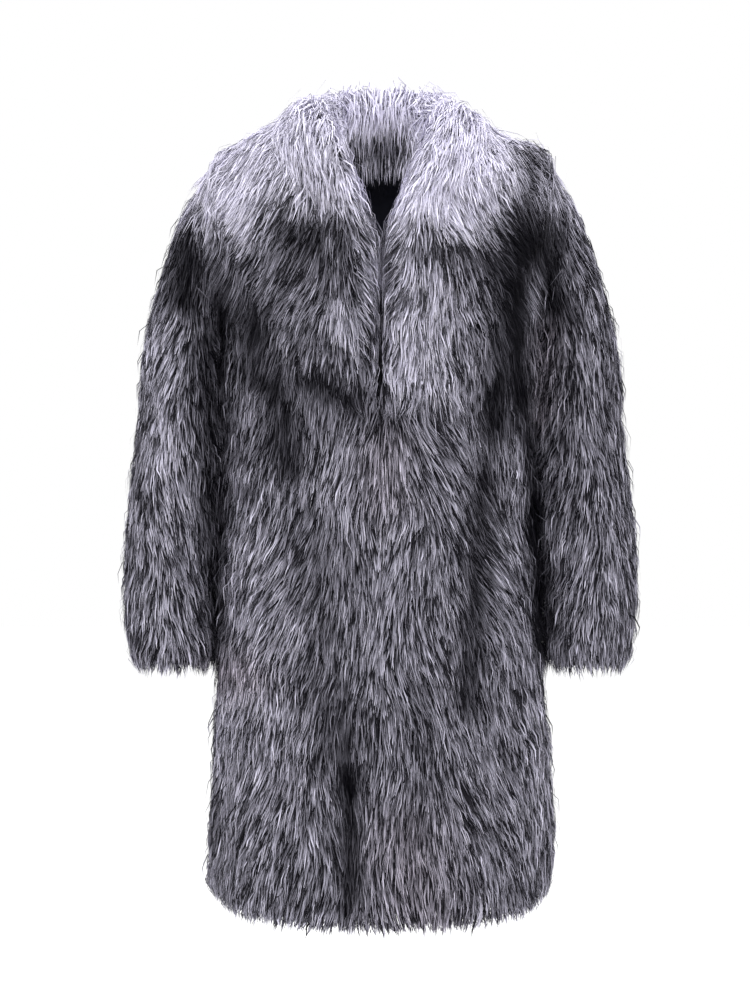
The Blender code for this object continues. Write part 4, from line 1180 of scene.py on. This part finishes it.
# %% [markdown]
# ## Growing the pile
#
# Each piece gets broad locks that fill the pile and finer guard hairs over them.

# %% Fur pieces
# count of locks of 5 triangles, of hairs of 3
STRANDS = {
    "front_left": (11000, 32000), "front_right": (11000, 32000), "back": (15000, 36000),
    "sleeve_left": (8500, 24000), "sleeve_right": (8500, 24000),
    "collar_left": (9000, 25000), "collar_right": (9000, 25000),
}
LENGTHS = {"front": 0.044, "back": 0.044, "sleeve": 0.040, "collar": 0.047}
# width, share of the piece's length, strength of light
LOCKS, HAIRS = (0.0022, 0.95, 0.85), (0.0012, 1.05, 1.18)
furs = {}
for number, surface in enumerate(SURFACES):
    batches = []
    sorts = ((LOCK_LEVELS, LOCKS, 10), (HAIR_LEVELS, HAIRS, 40))
    for count, (levels, (width, share, light), seed) in zip(STRANDS[surface.name], sorts):
        length = LENGTHS[surface.kind] * share
        batches.append(grow(surface, levels, count, length, width, seed + number, light))
    furs[surface.name] = make_fur(surface, *batches)
    print(surface.name, "fur triangles:", 5 * STRANDS[surface.name][0] + 3 * STRANDS[surface.name][1])

# %% [markdown]
# ## Materials
#
# A small class lets sums of sockets be written as sums.


# %% Shader maths
class Socket:
    """An output socket of a node tree, with the usual operators."""

    def __init__(self, tree, socket):
        self.tree, self.socket = tree, socket

    def node(self, kind, settings=(), output=0, **inputs):
        """Adds a node, gives it settings and inputs by name, and returns one of its outputs."""
        made = self.tree.nodes.new(kind)
        for name, value in dict(settings).items():
            setattr(made, name, value)
        for name, value in inputs.items():
            into = made.inputs[int(name[1:])] if name[0] == "_" else made.inputs[name.replace("_", " ")]
            if isinstance(value, Socket):
                self.tree.links.new(value.socket, into)
            else:
                into.default_value = value
        return Socket(self.tree, made.outputs[output])

    def maths(self, operation, *values):
        """A sum or a product of sockets and numbers."""
        inputs = {f"_{i}": value for i, value in enumerate(values)}
        return self.node("ShaderNodeMath", {"operation": operation}, **inputs)

    def __add__(self, other): return self.maths("ADD", self, other)
    def __radd__(self, other): return self.maths("ADD", other, self)
    def __sub__(self, other): return self.maths("SUBTRACT", self, other)
    def __rsub__(self, other): return self.maths("SUBTRACT", other, self)
    def __mul__(self, other): return self.maths("MULTIPLY", self, other)
    def __rmul__(self, other): return self.maths("MULTIPLY", other, self)

    def noise(self, scale, detail=2.0, stretch=(1.0, 1.0, 1.0)):
        """Noise over this vector, stretched along the axes."""
        spread = self.node("ShaderNodeVectorMath", {"operation": "MULTIPLY"}, _0=self, _1=stretch)
        return self.node("ShaderNodeTexNoise", Vector=spread, Scale=scale, Detail=detail)

    def mix_colours(self, first, second):
        """The first colour where this is 0 and the second where it is 1."""
        return self.node("ShaderNodeMix", {"data_type": "RGBA"}, output=2, _0=self, _6=first, _7=second)


def new_material(name, **constants):
    """A material with constant values on its shader, its coordinates and a way to feed the shader."""
    material = bpy.data.materials.new(name)
    material.use_nodes = True
    tree = material.node_tree
    shader = tree.nodes["Principled BSDF"]
    for key, value in constants.items():
        shader.inputs[key.replace("_", " ")].default_value = value

    def feed(key, value):
        """Links a socket to one of the shader's inputs."""
        tree.links.new(value.socket, shader.inputs[key])

    return material, Socket(tree, None).node("ShaderNodeTexCoord", output="Object"), feed


# %% [markdown]
# ### Fur
#
# Acrylic hair is smooth, so it has a soft gloss along it. The colour comes from the strands; a fine
# noise breaks it up as single hairs within a lock do.

# %% Fur material
fur, place, feed = new_material("fur_pile", Metallic=0.0, Specular_IOR_Level=0.07)
hair_noise = place.noise(900.0, detail=1.0, stretch=(1.0, 1.0, 0.12))
colour = place.node("ShaderNodeAttribute", {"attribute_name": "fur_colour"}, output="Color")
single = hair_noise.mix_colours((0.72, 0.72, 0.74, 1), (1.22, 1.22, 1.22, 1))
product = {"data_type": "RGBA", "blend_type": "MULTIPLY"}
feed("Base Color", place.node("ShaderNodeMix", product, output=2, _0=1.0, _6=colour, _7=single))
feed("Roughness", 0.42 + 0.25 * hair_noise)
print("nodes of the fur:", len(fur.node_tree.nodes))

# %% [markdown]
# ### Backing and lining
#
# The backing shows only as the dark ground between parted hair: short underfur over a knitted
# cloth. The lining is a dark navy satin with a fine twill.

# %% Backing and lining materials
underfur, place, feed = new_material("underfur", Metallic=0.0)
tufts = place.noise(420.0, detail=4.0, stretch=(1.0, 1.0, 0.25))
feed("Base Color", tufts.mix_colours((0.003, 0.003, 0.005, 1), (0.030, 0.028, 0.038, 1)))
feed("Roughness", 0.80 + 0.15 * tufts)
feed("Normal", tufts.node("ShaderNodeBump", Strength=0.6, Distance=0.002, Height=tufts))

lining, place, feed = new_material("lining_satin", Metallic=0.0, Sheen_Weight=0.25)
ribs = place.node("ShaderNodeTexWave", {"bands_direction": "DIAGONAL"}, output=1,
                  Vector=place, Scale=600.0, Distortion=0.6)
cloud = place.noise(14.0, detail=3.0)
feed("Base Color", cloud.mix_colours((0.006, 0.007, 0.018, 1), (0.014, 0.015, 0.034, 1)))
feed("Roughness", 0.36 + 0.18 * ribs)
feed("Normal", ribs.node("ShaderNodeBump", Strength=0.25, Distance=0.0004, Height=ribs))
print("nodes:", len(underfur.node_tree.nodes), "underfur,", len(lining.node_tree.nodes), "lining")

# %% [markdown]
# ## Put the pieces on the part
#
# Each backing stands for its node, and its fur goes with it.

# %% Assign, ride, replace
# widest width and length of the cut, and its area
FLAT_SIZES = {
    "front": ((0.30, 1.02), 0.285), "back": ((0.60, 1.04), 0.545),
    "sleeve": ((0.36, 0.64), 0.190), "collar": ((0.60, 0.24), 0.135),
}
for surface in SURFACES:
    cloth, pile = backings[surface.name], furs[surface.name]
    cloth.data.materials[0], cloth.data.materials[1] = underfur, lining
    pile.data.materials.append(fur)
    slot = "collar_fur" if surface.kind == "collar" else "body_fur"
    for piece in (cloth, pile):
        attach(piece, "root")
    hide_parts(surface.name)
    flat, area = FLAT_SIZES[surface.kind]
    print(surface.name, "backing", round(surface.skin_area(), 3), "m2 of a cut of", area)

# %% [markdown]
# ## Floor, light and camera
#
# A plain pale floor, a large soft light over the front, a weaker one at the front right, one overhead
# and one behind. The camera stands 3.6 m in front, level with the middle of the coat.

# %% Floor, light and camera
FLOOR, FLOOR_SIZE = -1.30, 30.0
half = FLOOR_SIZE / 2
corners = np.array(((-half, -half, FLOOR), (half, -half, FLOOR), (half, half, FLOOR), (-half, half, FLOOR)))
floor = add_mesh("floor", corners, np.arange(4), np.array((4,)))
floor_paint, place, feed = new_material("floor_paint", Metallic=0.0, Roughness=0.9,
                                                Emission_Color=(1, 1, 1, 1), Emission_Strength=0.05)
feed("Base Color", place.noise(2.0).mix_colours((0.965, 0.965, 0.97, 1), (0.985, 0.985, 0.99, 1)))
floor.data.materials.append(floor_paint)

world = bpy.data.worlds.new("studio")
world.use_nodes = True
world.node_tree.nodes["Background"].inputs["Color"].default_value = (1.0, 1.0, 1.0, 1)
world.node_tree.nodes["Background"].inputs["Strength"].default_value = 1.0
bpy.context.scene.world = world
bpy.context.scene.view_settings.view_transform = "Standard"

# name: place, what it faces, width, power in watts
LIGHTS = {
    "key": ((-0.6, -2.2, 2.2), (0, 0, -0.30), 1.6, 42),
    "fill": ((1.9, -2.4, 0.4), (0, 0, -0.50), 1.8, 14),
    "top": ((0.0, 0.3, 2.2), (0, 0, -0.10), 1.4, 34),
    "back": ((0.3, 2.6, 1.2), (0, 0, -0.40), 1.8, 22),
}


def aim(thing, place, target):
    """Puts a thing at a place and turns its -Z axis to a target."""
    back = unit(np.array(place, float) - np.array(target, float))
    right = unit(np.cross((0.0, 0.0, 1.0), back))
    up = np.cross(back, right)
    rows = [[right[i], up[i], back[i], place[i]] for i in range(3)] + [[0, 0, 0, 1]]
    thing.matrix_world = [list(column) for column in zip(*rows)]


for name, (spot, target, width, power) in LIGHTS.items():
    lamp = bpy.data.lights.new(name, "AREA")
    lamp.size, lamp.energy = width, power
    lamp_object = bpy.data.objects.new(name, lamp)
    bpy.context.scene.collection.objects.link(lamp_object)
    aim(lamp_object, spot, target)

CAMERA_DISTANCE, METRES_A_PIXEL = 3.6, 0.001294
ORIGIN_PIXEL, FRAME_PIXELS = (380.5, 150.0), (750, 1000)
camera_x = (FRAME_PIXELS[0] / 2 - ORIGIN_PIXEL[0]) * METRES_A_PIXEL
camera_z = -(FRAME_PIXELS[1] / 2 - ORIGIN_PIXEL[1]) * METRES_A_PIXEL
lens = bpy.data.cameras.new("camera")
lens.sensor_width = 36.0
lens.lens = lens.sensor_width * CAMERA_DISTANCE / (FRAME_PIXELS[1] * METRES_A_PIXEL)
camera = bpy.data.objects.new("camera", lens)
bpy.context.scene.collection.objects.link(camera)
aim(camera, (camera_x, -CAMERA_DISTANCE, camera_z), (camera_x, 0.0, camera_z))
bpy.context.scene.camera = camera
print("lights:", len(LIGHTS), "lens:", round(lens.lens, 1), "mm")
